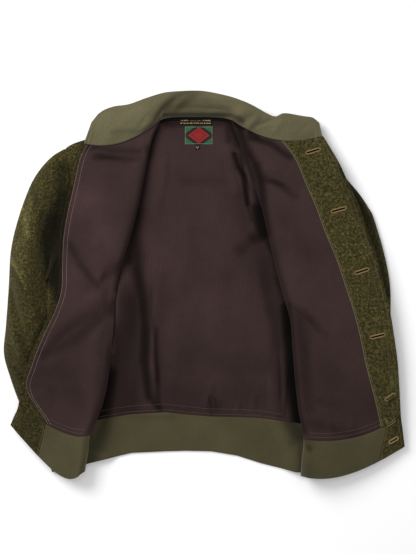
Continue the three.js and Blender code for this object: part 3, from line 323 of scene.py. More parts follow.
WOOL_PAINTED_SHADE_AND_LIGHT = [
    (-262, 214, -264, 164, 15, 1.1), (-262, 164, -274, 121, 18, 1.7), (-276, 121, -280, 67, 18, 2.6),
    (-280, 67, -274, 8, 17, 2.8), (-274, 8, -266, -30, 11, 2.2), (-222, 259, -246, 178, 8, 0.55),
    (-246, 178, -256, 134, 8, 1.6), (-256, 134, -266, 37, 10, 2.2), (-266, 37, -267, -7, 9, 2),
    (-294, 96, -290, 52, 6, 2.2), (-290, 52, -282, 4, 7, 2.6), (-312, 124, -307, 60, 6, -0.32),
    (-307, 60, -299, 0, 6, -0.28), (-267, -7, -302, -94, 8, 0.7), (-302, -94, -335, -188, 8, 0.55),
    (-268, -30, -300, -90, 6, 0.9), (-300, -90, -330, -150, 6, 0.6), (-300, 210, -282, 150, 18, 0.35),
    (-324, 200, -306, 150, 6, 0.5), (-337, 147, -320, 84, 4.5, -0.6), (-356, 46, -332, 4, 3.5, -0.75),
    (-332, 4, -311, -58, 3.5, -0.7), (-352, 26, -326, -16, 6, 0.7), (-326, -16, -306, -66, 6, 0.7),
    (-306, 120, -308, 60, 7, -0.3), (-352, -20, -340, -120, 30, 0.4), (-340, -120, -300, -290, 40, 0.5),
    (262, 192, 300, 108, 3.5, -0.5), (300, 108, 322, 52, 3.5, -0.5), (322, 52, 338, 0, 3.5, -0.45),
    (338, 0, 345, -62, 3.5, -0.35), (345, -62, 354, -125, 3.5, -0.3), (256, 214, 306, 106, 10, 1.5),
    (300, 120, 342, -20, 8, 1.2), (-352, -262, -330, -350, 20, 0.45), (360, -262, 362, -345, 16, 0.3),
]


def sample(rows, column, at):
    """Smooth value of a column between its rows."""
    values = rows[column]
    last = len(values) - 1
    i = np.clip(np.floor(at).astype(int), 0, last - 1)
    t = at - i
    a, b, c, d = (values[np.clip(i + k, 0, last)] for k in (-1, 0, 1, 2))
    return b + 0.5 * t * (c - a + t * (2 * a - 5 * b + 4 * c - d + t * (3 * (b - c) + d - a)))


def look_up(rows, key, column, value):
    keys, values = rows[key], rows[column]
    if keys[-1] < keys[0]:
        keys, values = keys[::-1], values[::-1]
    return np.interp(value, keys, values)


def ease(x):
    t = np.clip(x, 0, 1)
    return t * t * (3 - 2 * t)


def noise(x, y, size, seed):
    """Smooth even noise from -1 to 1 over a plane, in lumps of the given size."""
    lattice = np.random.default_rng(seed).uniform(-1, 1, (LATTICE, LATTICE))
    px, py = np.asarray(x) / size, np.asarray(y) / size
    i, j = np.floor(px).astype(int), np.floor(py).astype(int)
    u, v = ease(px - i), ease(py - j)
    i, j = i % LATTICE, j % LATTICE
    k, m = (i + 1) % LATTICE, (j + 1) % LATTICE
    low = lattice[i, j] * (1 - u) + lattice[k, j] * u
    high = lattice[i, m] * (1 - u) + lattice[k, m] * u
    return low * (1 - v) + high * v


def roughened(height, x, y, layers):
    for rise, size, seed in layers:
        height = height + rise * noise(x, y, size, seed)
    return height


def fade_in(value, start, length):
    """0 up to a start, then rising softly to 1 over a length."""
    return ease((value - start) / length)


def paired(at, station):
    return np.broadcast_arrays(np.asarray(at, float), np.asarray(station, float))


def armhole_x(side, share):
    a = ARMHOLES[side]
    return a["tipX"] + (a["pitX"] - a["tipX"]) * share + a["bow"] * np.sin(np.pi * share)


def armhole_y(side, share):
    a = ARMHOLES[side]
    return a["tipY"] + (a["pitY"] - a["tipY"]) * share


def side_x(side, y):
    a = ARMHOLES[side]
    share = np.maximum((a["tipY"] - y) / (a["tipY"] - a["pitY"]), 0)
    return np.where(y <= a["pitY"], look_up(SIDE_SEAMS, "y", side, y), armhole_x(side, share))


def tucked(sleeve, cuff):
    return {name: np.concatenate([sleeve[name], cuff[name]]) for name in ("innerX", "innerY")}


RIGHT_TUCK, LEFT_TUCK = tucked(RIGHT_SLEEVE, RIGHT_CUFF), tucked(LEFT_SLEEVE, LEFT_CUFF)


def lift_of(rise, x, y):
    """How far a panel is raised at a place in plan, for the sleeves under it."""
    down = ease((rise["top"] - y) / rise["length"])
    right = look_up(RIGHT_TUCK, "innerY", "innerX", y) + rise["margin"]
    left = look_up(LEFT_TUCK, "innerY", "innerX", y) - rise["margin"]
    ramp = rise["ramp"]
    return SLEEVE_LIFT * down * np.maximum(ease((right + ramp - x) / ramp), ease((x - left + ramp) / ramp))


def stroke(line, x, y):
    """A soft stroke along a line in plan, 1 on the line and fading with its half width."""
    ax, ay, bx, by, width = line
    along = ((x - ax) * (bx - ax) + (y - ay) * (by - ay)) / ((bx - ax) ** 2 + (by - ay) ** 2)
    t = np.clip(along, 0, 1)
    distance = np.hypot(x - ax - t * (bx - ax), y - ay - t * (by - ay))
    return np.exp(-((distance / width) ** 2))


def fold_rise(folds, x, y):
    rise = np.zeros(np.shape(x))
    for *line, height in folds:
        rise = rise + height * stroke(line, x, y)
    return rise


# Parts of its length over which a crease comes in and goes out, and its breadth at the start and its gain
CREASE_IN, CREASE_OUT, CREASE_BREADTH = (-0.12, 0.42), (-1.12, 0.5), (0.65, 0.5)


def crease_rise(creases, x, y):
    """Rise of the fine creases: each fades out at its ends, bows sideways and leans to one side."""
    rise = np.zeros(np.shape(x))
    for ax, ay, bx, by, bow, width, height, lean in creases:
        length = math.hypot(bx - ax, by - ay)
        ux, uy = (bx - ax) / length, (by - ay) / length
        t = ((x - ax) * ux + (y - ay) * uy) / length
        inside = np.clip(t, 0, 1)
        off = (x - ax) * -uy + (y - ay) * ux - bow * 4 * inside * (1 - inside)
        ends = fade_in(t, *CREASE_IN) * fade_in(-t, *CREASE_OUT)
        q = off / (width * (CREASE_BREADTH[0] + CREASE_BREADTH[1] * inside))
        rise = rise + height * ends * (1 - lean * q) * np.exp(-q * q)
    return rise


def scaled_creases(creases, scale, bow):
    """Creases given in rows and shares of a width, as creases in millimetres."""
    row, whole = scale
    return [
        (r0 * row, s0 * whole, r1 * row, s1 * whole, bow, width, height, lean)
        for (r0, s0), (r1, s1), width, height, lean in creases
    ]


def painted_shading(painted_strokes, x, y):
    """Painted shade and painted highlight of cloth at a place in plan, as the share of its lightness that it
    keeps; a negative depth paints it lighter.
    """
    painted_dark, painted_light = np.zeros(np.shape(x)), np.zeros(np.shape(x))
    for *line, depth in painted_strokes:
        shade = depth * stroke(line, x, y)
        painted_dark, painted_light = np.maximum(painted_dark, shade), np.minimum(painted_light, shade)
    return np.exp(-painted_dark - painted_light)


def unit(v):
    return v / np.maximum(np.linalg.norm(v, axis=-1, keepdims=True), 1e-12)


CURL_STEPS = 12


def front_point(front, at, station):
    """A point of a front where wool meets lining. Its station runs -1 to 0 round the side seam, 0 to 1 along
    the under leg, 1 to 2 round the fold, and from UPPER to EDGE along the upper leg."""
    at, station = paired(at, station)
    get = {name: sample(front["rows"], name, at) for name in front["rows"]}
    seam_x = np.where(at > SHOULDER_ROW, side_x(front["side"], get["sideY"]), get["shoulderX"])
    side = np.stack([seam_x, get["sideY"]], -1)
    fold, bend, edge = (np.stack([get[line + "X"], get[line + "Y"]], -1) for line in ("fold", "bend", "edge"))
    radius = get["radius"]
    r = radius[..., None]
    under, over = unit(side - fold), unit(bend - fold)
    under_end, over_start = fold + under * r, fold + over * r
    fold_z = lift_of(FRONT_RISE, under_end[..., 0], under_end[..., 1]) + LOWER_LEG

    share = np.clip(station, 0, 1)[..., None]
    flat = side * (1 - share) + under_end * share
    flat_z = lift_of(FRONT_RISE, flat[..., 0], flat[..., 1]) + LOWER_LEG
    whole = np.clip(-station, 0, None) * get["curl"] * np.pi
    for k in range(CURL_STEPS):
        turn = whole * (k + 0.5) / CURL_STEPS
        length = whole * CURL_RADIUS / CURL_STEPS
        flat = flat + under * (length * np.cos(turn))[..., None]
        flat_z = flat_z - length * np.sin(turn)

    turn = np.clip(station - 1, 0, 1) * np.pi
    mix = np.clip(station - 1, 0, 1)[..., None]
    away = unit(under * (1 - mix) + over * mix)
    round_ = fold + away * (radius * (1 - np.sin(turn)))[..., None]
    round_z = fold_z + radius * (1 - np.cos(turn))

    t = np.maximum(station - UPPER, 0)
    w0, w1, w2 = (1 - t) ** 2, 2 * t * (1 - t) * get["pull"], t * t
    total = w0 + w1 + w2
    w0, w1, w2 = w0 / total, w1 / total, w2 / total
    upper = over_start * w0[..., None] + bend * w1[..., None] + edge * w2[..., None]
    upper_z = w0 * (fold_z + 2 * radius) + w1 * get["midZ"] + w2 * get["edgeZ"]
    ux, uy = upper[..., 0], upper[..., 1]
    upper_z = upper_z + ease(4 * t) * fold_rise(front["folds"], ux, uy)
    soft = roughened(CREASE_GAIN * crease_rise(front["creases"], ux, uy), ux, uy, FRONT_NOISE)
    upper_z = upper_z + ease(5 * t) * soft
    inset = np.linalg.norm(upper - edge, axis=-1)
    for line in front["channels"]:
        upper_z = upper_z - CHANNEL["depth"] * np.exp(-(((inset - line) / CHANNEL["width"]) ** 2))

    first, second = (station <= 1), (station < UPPER)
    plan = np.where(first[..., None], flat, np.where(second[..., None], round_, upper))
    z = np.where(first, flat_z, np.where(second, round_z, upper_z))
    return np.concatenate([plan, z[..., None]], -1)


MIDDLE_COLUMNS, SIDE_COLUMNS = 9, 4
BACK_COLUMNS = MIDDLE_COLUMNS + 2 * SIDE_COLUMNS
EDGE_POWER = 1.5


def across_back(y, station):
    """X at a station from 0 to 1 across the back, and its share of the width between the side seams."""
    start, end = side_x("right", y) + SIDE_GAP, side_x("left", y) - SIDE_GAP
    margin, ramp = BACK_RISE["margin"], BACK_RISE["ramp"]
    right = np.maximum(look_up(RIGHT_TUCK, "innerY", "innerX", y) + margin, start + LEAST_SPAN)
    left = np.minimum(look_up(LEFT_TUCK, "innerY", "innerX", y) - margin, end - LEAST_SPAN)
    level = left - right - 2 * ramp
    middle = [right + ramp + level * k / MIDDLE_COLUMNS for k in range(MIDDLE_COLUMNS + 1)]
    knots = [start, (start + right) / 2, right, right + ramp / 2]
    knots += [*middle, left - ramp / 2, left, (left + end) / 2, end]
    knots = np.stack(np.broadcast_arrays(*knots), 0)
    place = station * BACK_COLUMNS
    i = np.clip(np.floor(place).astype(int), 0, BACK_COLUMNS - 1)
    low = np.take_along_axis(knots, i[None], 0)[0]
    high = np.take_along_axis(knots, i[None] + 1, 0)[0]
    x = low + (high - low) * (place - i)
    return x, (x - start) / (end - start)


def back_point(at, station):
    at, station = paired(at, station)
    y = sample(BACK_ROWS, "y", at * (len(BACK_ROWS["y"]) - 1))
    x, share = across_back(y, station)
    shoulder = look_up(BACK_RISES, "across", "shoulder", share) * np.maximum(1 - at, 0) ** EDGE_POWER
    hem = look_up(BACK_RISES, "across", "hem", share) * np.maximum(at, 0) ** EDGE_POWER
    y = y + shoulder + hem
    return np.stack([x, y, lift_of(BACK_RISE, x, y) + WOOL], -1)


SLOPE_RISE = 14


def side_slope(x, y):
    """The lining beside the wearer's right fold, which climbs softly up to it."""
    off = x - look_up(RIGHT_FRONT, "foldY", "foldX", y)
    height = SLOPE_RISE * fade_in(y, -128, 70) * fade_in(-y, -46, 60)
    return height * fade_in(off, -3, 8) * fade_in(-off, -50, 44)


def back_lining_point(at, station):
    point = back_point(at, station)
    x, y = point[..., 0], point[..., 1]
    point[..., 2] += side_slope(x, y)
    # Both come in over an eighth of the length; folds go out over a sixth and creases over a sixteenth
    at = np.asarray(at)
    fold_hold, crease_hold = ease(8 * at) * ease(6 * (1 - at)), ease(8 * at) * ease(16 * (1 - at))
    soft = roughened(CREASE_GAIN * crease_rise(BACK_CREASES, x, y) + 1.0, x, y, BACK_NOISE)
    point[..., 2] += fold_rise(BACK_FOLDS, x, y) * fold_hold + np.maximum(soft, 0) * crease_hold
    return point


def back_band_point(at, station):
    at, station = paired(at, station)
    seam = back_point(np.ones_like(at), station)
    _, share = across_back(np.full_like(at, BACK_ROWS["y"][-1]), station)
    edge_y = look_up(BACK_BAND_EDGE, "across", "edgeY", share)
    y = (seam[..., 1] - BAND_GAP) * (1 - at) + edge_y * at
    start, end = side_x("right", y) + SIDE_GAP, side_x("left", y) - SIDE_GAP
    x = start + (end - start) * share
    return np.stack([x, y, lift_of(BACK_RISE, x, y) + WOOL], -1)


RIGHT = dict(side="right", rows=RIGHT_FRONT, folds=RIGHT_FRONT_FOLDS, creases=RIGHT_FRONT_CREASES,
             channels=RIGHT_CHANNELS, facing=1)
LEFT = dict(side="left", rows=LEFT_FRONT, folds=LEFT_FRONT_FOLDS, creases=LEFT_FRONT_CREASES,
            channels=LEFT_CHANNELS, facing=-1)
BACK_NECK = dict(start=0.39, span=0.26)


def face_of(front):
    """The surface of a front, and which way its upper face looks."""
    return partial(front_point, front), front["facing"]


def neckline_point(neck):
    """The neckline where wool meets lining, round both fronts and the back between them."""
    neck = np.asarray(neck, float)

    def back(along):
        share = BACK_NECK["start"] + BACK_NECK["span"] * along
        top = np.full_like(along, BACK_ROWS["y"][0])
        start, end = side_x("right", top), side_x("left", top)
        y = top + look_up(BACK_RISES, "across", "shoulder", share)
        return np.stack([start + (end - start) * share, y, np.full_like(along, WOOL)], -1)

    zero = np.zeros_like(neck)
    right = front_point(RIGHT, zero, UPPER + np.maximum(1 - neck, 0))
    k = ease((neck - 1) / COLLAR_SEAM["blend"])[..., None]
    right = right * (1 - k) + back(np.maximum(neck - 1, 0)) * k
    left = front_point(LEFT, zero, UPPER + np.maximum(neck - 2, 0))
    k = ease((2 - neck) / COLLAR_SEAM["blend"])[..., None]
    left = left * (1 - k) + back(np.minimum(neck - 1, 1)) * k
    return np.where((neck < 1.5)[..., None], right, left)


COLLAR_CREST_SHARE = 0.6
COLLAR_BULGE = dict(span=0.34, out=4.2, up=2.0)


def collar_point(at, station):
    """The collar: at runs from its seam to its free edge, and station counts rows of its table."""
    at, station = paired(at, station)
    get = {name: sample(COLLAR, name, station) for name in COLLAR}
    seam = neckline_point(get["neck"])
    free = np.stack([get["freeX"], get["freeY"], get["freeZ"]], -1)
    out = free - seam
    out[..., 2] = 0
    out = unit(out)
    seam = seam + out * COLLAR_SEAM["gap"]
    seam[..., 2] += COLLAR_SEAM["rise"]
    place = seam + (free - seam) * at[..., None]
    place[..., 2] += get["crest"] * np.sin(np.pi * at) * COLLAR_CREST_SHARE
    # Over the back neck the knit rolls out over its seam
    round_back = fade_in(get["neck"], 0.7, 0.35) * fade_in(-get["neck"], -2.3, 0.3)
    bulge = np.sin(np.pi * np.clip(at / COLLAR_BULGE["span"], 0, 1)) * round_back
    place = place - out * (COLLAR_BULGE["out"] * bulge)[..., None]
    place[..., 2] += COLLAR_BULGE["up"] * bulge
    reach, across = station * COLLAR_SCALE[0], at * COLLAR_SCALE[1]
    for crease in scaled_creases(COLLAR_CREASES, COLLAR_SCALE, COLLAR_BOW):
        place[..., 2] += crease_rise([crease], reach, across) * ease(6 * at) * ease(5 * (1.05 - at))
    place[..., 2] += roughened(0, reach, across, COLLAR_NOISE) * ease(5 * at)
    return place


NUDGE = 2e-3


def normals_of(surface, facing, at, station):
    across = surface(at, station + NUDGE) - surface(at, station - NUDGE)
    down = surface(at + NUDGE, station) - surface(at - NUDGE, station)
    return unit(np.cross(across, down)) * facing


def to_row(points):
    """Millimetres of the tables to metres of the row frame."""
    return (np.asarray(points, float) - MIDDLE) / 1000


def new_object(name, data):
    made = bpy.data.objects.new(name, data)
    bpy.context.scene.collection.objects.link(made)
    return made


def smooth_mesh(name, points, faces, uv=None):
    mesh = bpy.data.meshes.new(name)
    mesh.from_pydata(to_row(points).tolist(), [], [list(map(int, f)) for f in faces])
    mesh.update()
    if uv is not None:
        layer = mesh.uv_layers.new(name="cloth")
        loops = np.empty(len(mesh.loops), dtype=np.int32)
        mesh.loops.foreach_get("vertex_index", loops)
        layer.data.foreach_set("uv", (np.asarray(uv)[loops] / 1000).astype(np.float32).ravel())
    mesh.polygons.foreach_set("use_smooth", np.ones(len(mesh.polygons), dtype=bool))
    return new_object(name, mesh)


def outward(points, quads):
    """Turns the faces round if they point into the solid that they close."""
    p = points[quads]
    six = np.einsum("ij,ij->", p[:, 0], np.cross(p[:, 1], p[:, 2]))
    six += np.einsum("ij,ij->", p[:, 0], np.cross(p[:, 2], p[:, 3]))
    return quads if six > 0 else quads[:, ::-1]


def grid_uv(points):
    """Distances along a grid in millimetres, taken as the mean over rows and columns."""
    across = np.linalg.norm(np.diff(points, axis=1), axis=-1).mean(0)
    down = np.linalg.norm(np.diff(points, axis=0), axis=-1).mean(1)
    u = np.concatenate([[0], np.cumsum(across)])
    v = np.concatenate([[0], np.cumsum(down)])
    return np.stack(np.broadcast_arrays(u[None, :], v[:, None]), -1)


def grid_quads(index, index_on):
    """Quads between the rows of a grid of point numbers and the same grid one column on."""
    corners = (index[:-1], index[1:], index_on[1:], index_on[:-1])
    return np.stack([corner.ravel() for corner in corners], 1)


RIM_BULGE = 0.22


def shell(name, inner, outer):
    """A closed cloth shell between two grids, with its cut edges rounded."""
    rows, columns = inner.shape[:2]
    index = np.arange(rows * columns).reshape(rows, columns)
    rim = [(0, j) for j in range(columns)] + [(i, columns - 1) for i in range(1, rows)]
    rim += [(rows - 1, j) for j in range(columns - 2, -1, -1)] + [(i, 0) for i in range(rows - 2, 0, -1)]
    rim = np.array(rim)
    inside = np.clip(rim, [1, 1], [rows - 2, columns - 2])
    middle = (inner + outer) / 2
    out = unit(middle[rim[:, 0], rim[:, 1]] - middle[inside[:, 0], inside[:, 1]])
    thickness = np.linalg.norm(outer - inner, axis=-1)[rim[:, 0], rim[:, 1]]
    bulge = middle[rim[:, 0], rim[:, 1]] + out * (RIM_BULGE * thickness)[:, None]
    points = np.concatenate([inner.reshape(-1, 3), outer.reshape(-1, 3), bulge])
    n = rows * columns
    low = grid_quads(index[:, :-1], index[:, 1:])
    edge = index[rim[:, 0], rim[:, 1]]
    turned = np.roll(edge, -1)
    ring = 2 * n + np.arange(len(edge))
    ring_on = np.roll(ring, -1)
    below = np.stack([edge, turned, ring_on, ring], 1)
    above = np.stack([ring, ring_on, turned + n, edge + n], 1)
    quads = outward(points, np.concatenate([low, low[:, [0, 3, 2, 1]] + n, below, above]))
    uv = grid_uv(outer).reshape(-1, 2)
    return smooth_mesh(name, points, quads, np.concatenate([uv, uv, uv[edge]]))


def cloth(name, surface, facing, rows, stations, low, high):
    """A cloth shell on a surface. Rows is a list, stations a list or a function of the row."""
    rows = np.asarray(rows, float)
    if callable(stations):
        across = np.stack([stations(at) for at in rows])
    else:
        across = np.tile(stations, (len(rows), 1))
    at = np.repeat(rows[:, None], across.shape[1], 1)
    base = surface(at, across)
    normal = normals_of(surface, facing, at, across)
    return shell(name, base + normal * low, base + normal * high)


def steps(start, end, count):
    return np.linspace(start, end, count + 1)


# Materials

class Look:
    """A material, with the kinds of node that cloth and thread are made of."""

    def __init__(self, name, roughness):
        self.material = bpy.data.materials.new(name)
        self.material.use_nodes = True
        self.tree = self.material.node_tree
        self.shader = self.tree.nodes["Principled BSDF"]
        self.shader.inputs["Roughness"].default_value = roughness

    def node(self, kind, inputs, **settings):
        node = self.tree.nodes.new(kind)
        for key, value in settings.items():
            setattr(node, key, value)
        for key, value in inputs.items():
            self.feed(node.inputs[key], value)
        return node.outputs

    def feed(self, socket, value):
        """Links a socket to another node, or sets it to a constant."""
        if isinstance(value, bpy.types.NodeSocket):
            self.tree.links.new(value, socket)
        else:
            socket.default_value = (*value, 1) if isinstance(value, tuple) else value

    def noise(self, scale, detail=2.0, roughness=0.6):
        place = self.node("ShaderNodeTexCoord", {})["Object"]
        inputs = {"Vector": place, "Scale": scale, "Detail": detail, "Roughness": roughness}
        return self.node("ShaderNodeTexNoise", inputs)["Fac"]

    def plan(self):
        """Distances across and up a piece, in metres."""
        uv = self.node("ShaderNodeTexCoord", {})["UV"]
        return self.node("ShaderNodeSeparateXYZ", {0: uv}).values()[:2]

    def bands(self, pitch, direction, distortion):
        """Soft stripes at a pitch in metres along the cloth."""
        uv = self.node("ShaderNodeTexCoord", {})["UV"]
        inputs = {"Vector": uv, "Scale": 2 * math.pi / (20 * pitch), "Distortion": distortion}
        inputs |= {"Detail": 1.0, "Detail Scale": 2.0}
        return self.node("ShaderNodeTexWave", inputs, bands_direction=direction)["Fac"]

    def ramp(self, factor, *stops):
        """Colours at places from 0 to 1; a single number is a grey."""
        node = self.tree.nodes.new("ShaderNodeValToRGB")
        elements = node.color_ramp.elements
        while len(elements) < len(stops):
            elements.new(0.5)
        for element, (place, colour) in zip(elements, stops):
            element.position = place
            element.color = (*(colour if isinstance(colour, tuple) else (colour,) * 3), 1)
        self.feed(node.inputs["Fac"], factor)
        return node.outputs["Color"]

    def mix(self, factor, first, second, blend="MIX"):
        inputs = {0: factor, 6: first, 7: second}
        return self.node("ShaderNodeMix", inputs, data_type="RGBA", blend_type=blend)[2]

    def times(self, coat, colour):
        return self.mix(1.0, coat, colour, "MULTIPLY")

    def maths(self, operation, first, second=0.0):
        return self.node("ShaderNodeMath", {0: first, 1: second}, operation=operation)[0]

    def apart(self, first, second):
        return self.maths("ABSOLUTE", self.maths("SUBTRACT", first, second))

    def relief(self, distance, strength, first, *others):
        """Bumps of a first pattern and of others, each given with its share."""
        height = first
        for pattern, share in others:
            height = self.maths("ADD", height, self.maths("MULTIPLY", pattern, share))
        inputs = {"Height": height, "Distance": distance, "Strength": strength}
        self.feed(self.shader.inputs["Normal"], self.node("ShaderNodeBump", inputs)["Normal"])

    def coat(self, colour):
        self.feed(self.shader.inputs["Base Color"], colour)

    def painted_shade_coat(self, colour):
        """A colour that the painted shade and painted highlights of its piece darken and lighten."""
        self.coat(self.times(colour, self.node("ShaderNodeAttribute", {}, attribute_name="painted_shading")["Color"]))

    def sheen(self, weight, roughness, tint):
        self.shader.inputs["Sheen Weight"].default_value = weight
        self.shader.inputs["Sheen Roughness"].default_value = roughness
        self.shader.inputs["Sheen Tint"].default_value = (*tint, 1)

    def specular(self, level):
        self.shader.inputs["Specular IOR Level"].default_value = level

    def woven(self, colour):
        """Colour and relief of a close weave."""
        weave = self.noise(1500)
        self.coat(self.times(colour, self.ramp(weave, (0.3, 0.6), (0.7, 1.3))))
        self.relief(0.0003, 0.6, weave)


def wool_material():
    look = Look("olive_melange_wool", 0.95)
    blotch, fleck, fibre = look.noise(240, 3.0, 0.78), look.noise(800, 2.0, 0.7), look.noise(1700)
    coat = look.ramp(blotch, (0.32, (0.009, 0.0085, 0.003)), (0.44, (0.026, 0.0235, 0.007)),
                     (0.54, (0.048, 0.043, 0.013)), (0.67, (0.098, 0.080, 0.030)))
    flecks = look.ramp(fleck, (0.36, (0.25, 0.25, 0.22)), (0.5, 1), (0.66, (2.1, 1.85, 1.5)))
    wide = look.ramp(look.noise(14, 2.0, 0.5), (0.3, 0.84), (0.7, (1.14, 1.14, 1.12)))
    look.painted_shade_coat(look.times(look.times(coat, flecks), wide))
    look.relief(0.0016, 0.8, blotch, (fleck, 0.7), (fibre, 0.35))
    look.sheen(0.12, 0.6, (0.62, 0.56, 0.34))
    look.specular(0.08)
    return look.material


def lining_material():
    look = Look("brown_lining", 0.9)
    wale, weft, grain = look.bands(0.0041, "X", 0.8), look.bands(0.0043, "Y", 0.9), look.noise(900)
    wide = look.noise(11, 3.0, 0.55)
    coat = look.ramp(wide, (0.3, (0.0305, 0.0185, 0.018)), (0.7, (0.0415, 0.025, 0.0243)))
    coat = look.times(coat, look.ramp(wale, (0.1, 0.9), (0.9, (1.08, 1.07, 1.07))))
    coat = look.times(coat, look.ramp(weft, (0.1, 0.93), (0.9, 1.05)))
    coat = look.times(coat, look.ramp(grain, (0.3, (0.82, 0.8, 0.8)), (0.7, (1.18, 1.14, 1.12))))
    look.painted_shade_coat(coat)
    look.relief(0.0003, 0.7, wale, (weft, 0.5), (grain, 0.6))
    look.sheen(0.08, 0.5, (0.55, 0.42, 0.4))
    look.specular(0.06)
    return look.material


def rib_material(name, dark, light, pitch):
    look = Look(name, 0.92)
    rib, loop, grain = look.bands(pitch, "X", 0.15), look.bands(0.0019, "Y", 0.6), look.noise(800)
    coat = look.ramp(look.noise(13, 3.0, 0.55), (0.3, dark), (0.7, light))
    coat = look.times(coat, look.ramp(rib, (0.05, (0.86, 0.86, 0.85)), (0.5, 1), (0.95, (1.06, 1.06, 1.05))))
    coat = look.times(coat, look.ramp(grain, (0.3, 0.78), (0.7, (1.2, 1.2, 1.18))))
    look.painted_shade_coat(coat)
    look.relief(0.0007, 0.4, rib, (loop, 0.28), (grain, 0.3))
    look.sheen(0.3, 0.5, (0.7, 0.66, 0.5))
    look.specular(0.2)
    return look.material


def thread_material(name, colour, roughness=0.6, specular=0.3):
    look = Look(name, roughness)
    grain = look.noise(2200)
    look.coat(look.ramp(grain, (0.3, tuple(0.6 * c for c in colour)), (0.7, colour)))
    look.relief(0.0002, 0.6, grain)
    look.specular(specular)
    return look.material


def label_material(wide, tall):
    """A woven label of a plain design: a red diamond with green corners on black, in a thin light border."""
    look = Look("woven_label", 0.8)
    across, up = look.plan()
    across, up = look.apart(across, wide / 2), look.apart(up, tall / 2)
    red = (0.20, 0.018, 0.017)
    reach = look.maths("ADD", look.maths("DIVIDE", across, 0.0205), look.maths("DIVIDE", up, 0.015))
    coat = look.mix(look.maths("GREATER_THAN", reach, 1.42), (0.02, 0.014, 0.011), (0.028, 0.084, 0.045))
    coat = look.mix(look.maths("LESS_THAN", reach, 1.0), coat, red)
    ring = look.maths("LESS_THAN", look.apart(reach, 0.62), 0.05)
    coat = look.mix(ring, coat, tuple(0.55 * c for c in red))
    from_side, from_end = look.maths("SUBTRACT", wide / 2, across), look.maths("SUBTRACT", tall / 2, up)
    border = look.maths("LESS_THAN", look.apart(look.maths("MINIMUM", from_side, from_end), 0.0016), 0.0004)
    look.woven(look.mix(border, coat, (0.14, 0.135, 0.085)))
    look.specular(0.1)
    return look.material


def strip_material(name, wide, tall, rows, colour):
    """Black woven tape with rows of plain light dashes."""
    look = Look(name, 0.75)
    across, up = look.plan()
    dash = look.maths("GREATER_THAN", look.noise(420, 1.0, 0.5), 0.48)
    line = look.maths("FRACT", look.maths("MULTIPLY", up, rows / tall))
    in_line = look.maths("LESS_THAN", look.apart(line, 0.5), 0.2)
    in_width = look.maths("LESS_THAN", look.apart(across, wide / 2), wide / 2 - 0.002)
    mark = look.maths("MULTIPLY", look.maths("MULTIPLY", dash, in_line), in_width)
    look.woven(look.mix(mark, (0.008, 0.007, 0.006), colour))
    look.specular(0.08)
    return look.material


def button_material():
    look = Look("horn_button", 0.32)
    streaks = ((0.35, (0.01, 0.006, 0.004)), (0.55, (0.032, 0.018, 0.01)), (0.7, (0.075, 0.045, 0.024)))
    look.coat(look.ramp(look.noise(160, 3.0), *streaks))
    look.relief(0.0001, 0.4, look.noise(900, 2.0, 0.5))
    return look.material


WOOL_CLOTH = wool_material()
LINING_CLOTH = lining_material()
HEM_KNIT = rib_material("olive_rib", (0.047, 0.040, 0.0172), (0.062, 0.053, 0.0238), 0.0034)
COLLAR_KNIT = rib_material("khaki_rib", (0.081, 0.071, 0.0365), (0.108, 0.095, 0.0505), 0.0036)
# Cloth of the neck tape: a real tape, coloured near-black as painted shade under the collar's rolled seam
SHADOWED_TAPE_CLOTH = thread_material("tape_in_painted_shade", (0.009, 0.008, 0.005), 0.9, 0.05)
WOOL_THREAD = thread_material("olive_thread", (0.200, 0.178, 0.088))
TAN_THREAD = thread_material("tan_thread", (0.38, 0.295, 0.21))
LINING_THREAD = thread_material("brown_thread", (0.150, 0.098, 0.080))
GOLD_THREAD = thread_material("buttonhole_thread", (0.33, 0.225, 0.090))
# Near-black cloth for the sheets in the buttonhole slits: interlining coloured as painted shade of the slits
SLIT_SHADE_SHEET_CLOTH = thread_material("slit_painted_shade", (0.006, 0.005, 0.004), 0.95, 0.03)
PIPING = thread_material("tan_piping", (0.135, 0.105, 0.060), 0.8)


def with_painted_shade(piece, painted_strokes):
    """Keeps the painted shade and painted highlights of each point of a piece as an attribute that its
    material reads.
    """
    count = len(piece.data.vertices)
    places = np.empty(count * 3)
    piece.data.vertices.foreach_get("co", places)
    places = places.reshape(-1, 3) * 1000 + MIDDLE
    layer = piece.data.attributes.new("painted_shading", "FLOAT", "POINT")
    layer.data.foreach_set("value", painted_shading(painted_strokes, places[:, 0], places[:, 1]).astype(np.float32))
    return piece


def finish_piece(piece, material, replaced=()):
    piece.data.materials.clear()
    piece.data.materials.append(material)
    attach(piece, ROOT)
    if replaced:
        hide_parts(*replaced)
    return piece


# Back
BACK_AT = steps(0, 1, 200)
BACK_ACROSS = steps(0, 1, 12 * BACK_COLUMNS)
back_wool = cloth("back_wool", back_point, -1, steps(0, 1, 60), steps(0, 1, 3 * BACK_COLUMNS), -WOOL, 0)
back_lined = cloth("back_lined", back_lining_point, -1, BACK_AT, BACK_ACROSS, SEAM_GAP, LINING_TOP)
back_band = cloth("back_band", back_band_point, -1, steps(0, 1, 24), BACK_ACROSS, -WOOL, LINING_TOP)
finish_piece(with_painted_shade(back_wool, WOOL_PAINTED_SHADE_AND_LIGHT), WOOL_CLOTH, ["back_shell"])
finish_piece(with_painted_shade(back_lined, BACK_PAINTED_SHADE_AND_LIGHT), LINING_CLOTH, ["back_lining"])
finish_piece(with_painted_shade(back_band, BAND_PAINTED_SHADE), HEM_KNIT, ["hem_rib_back"])

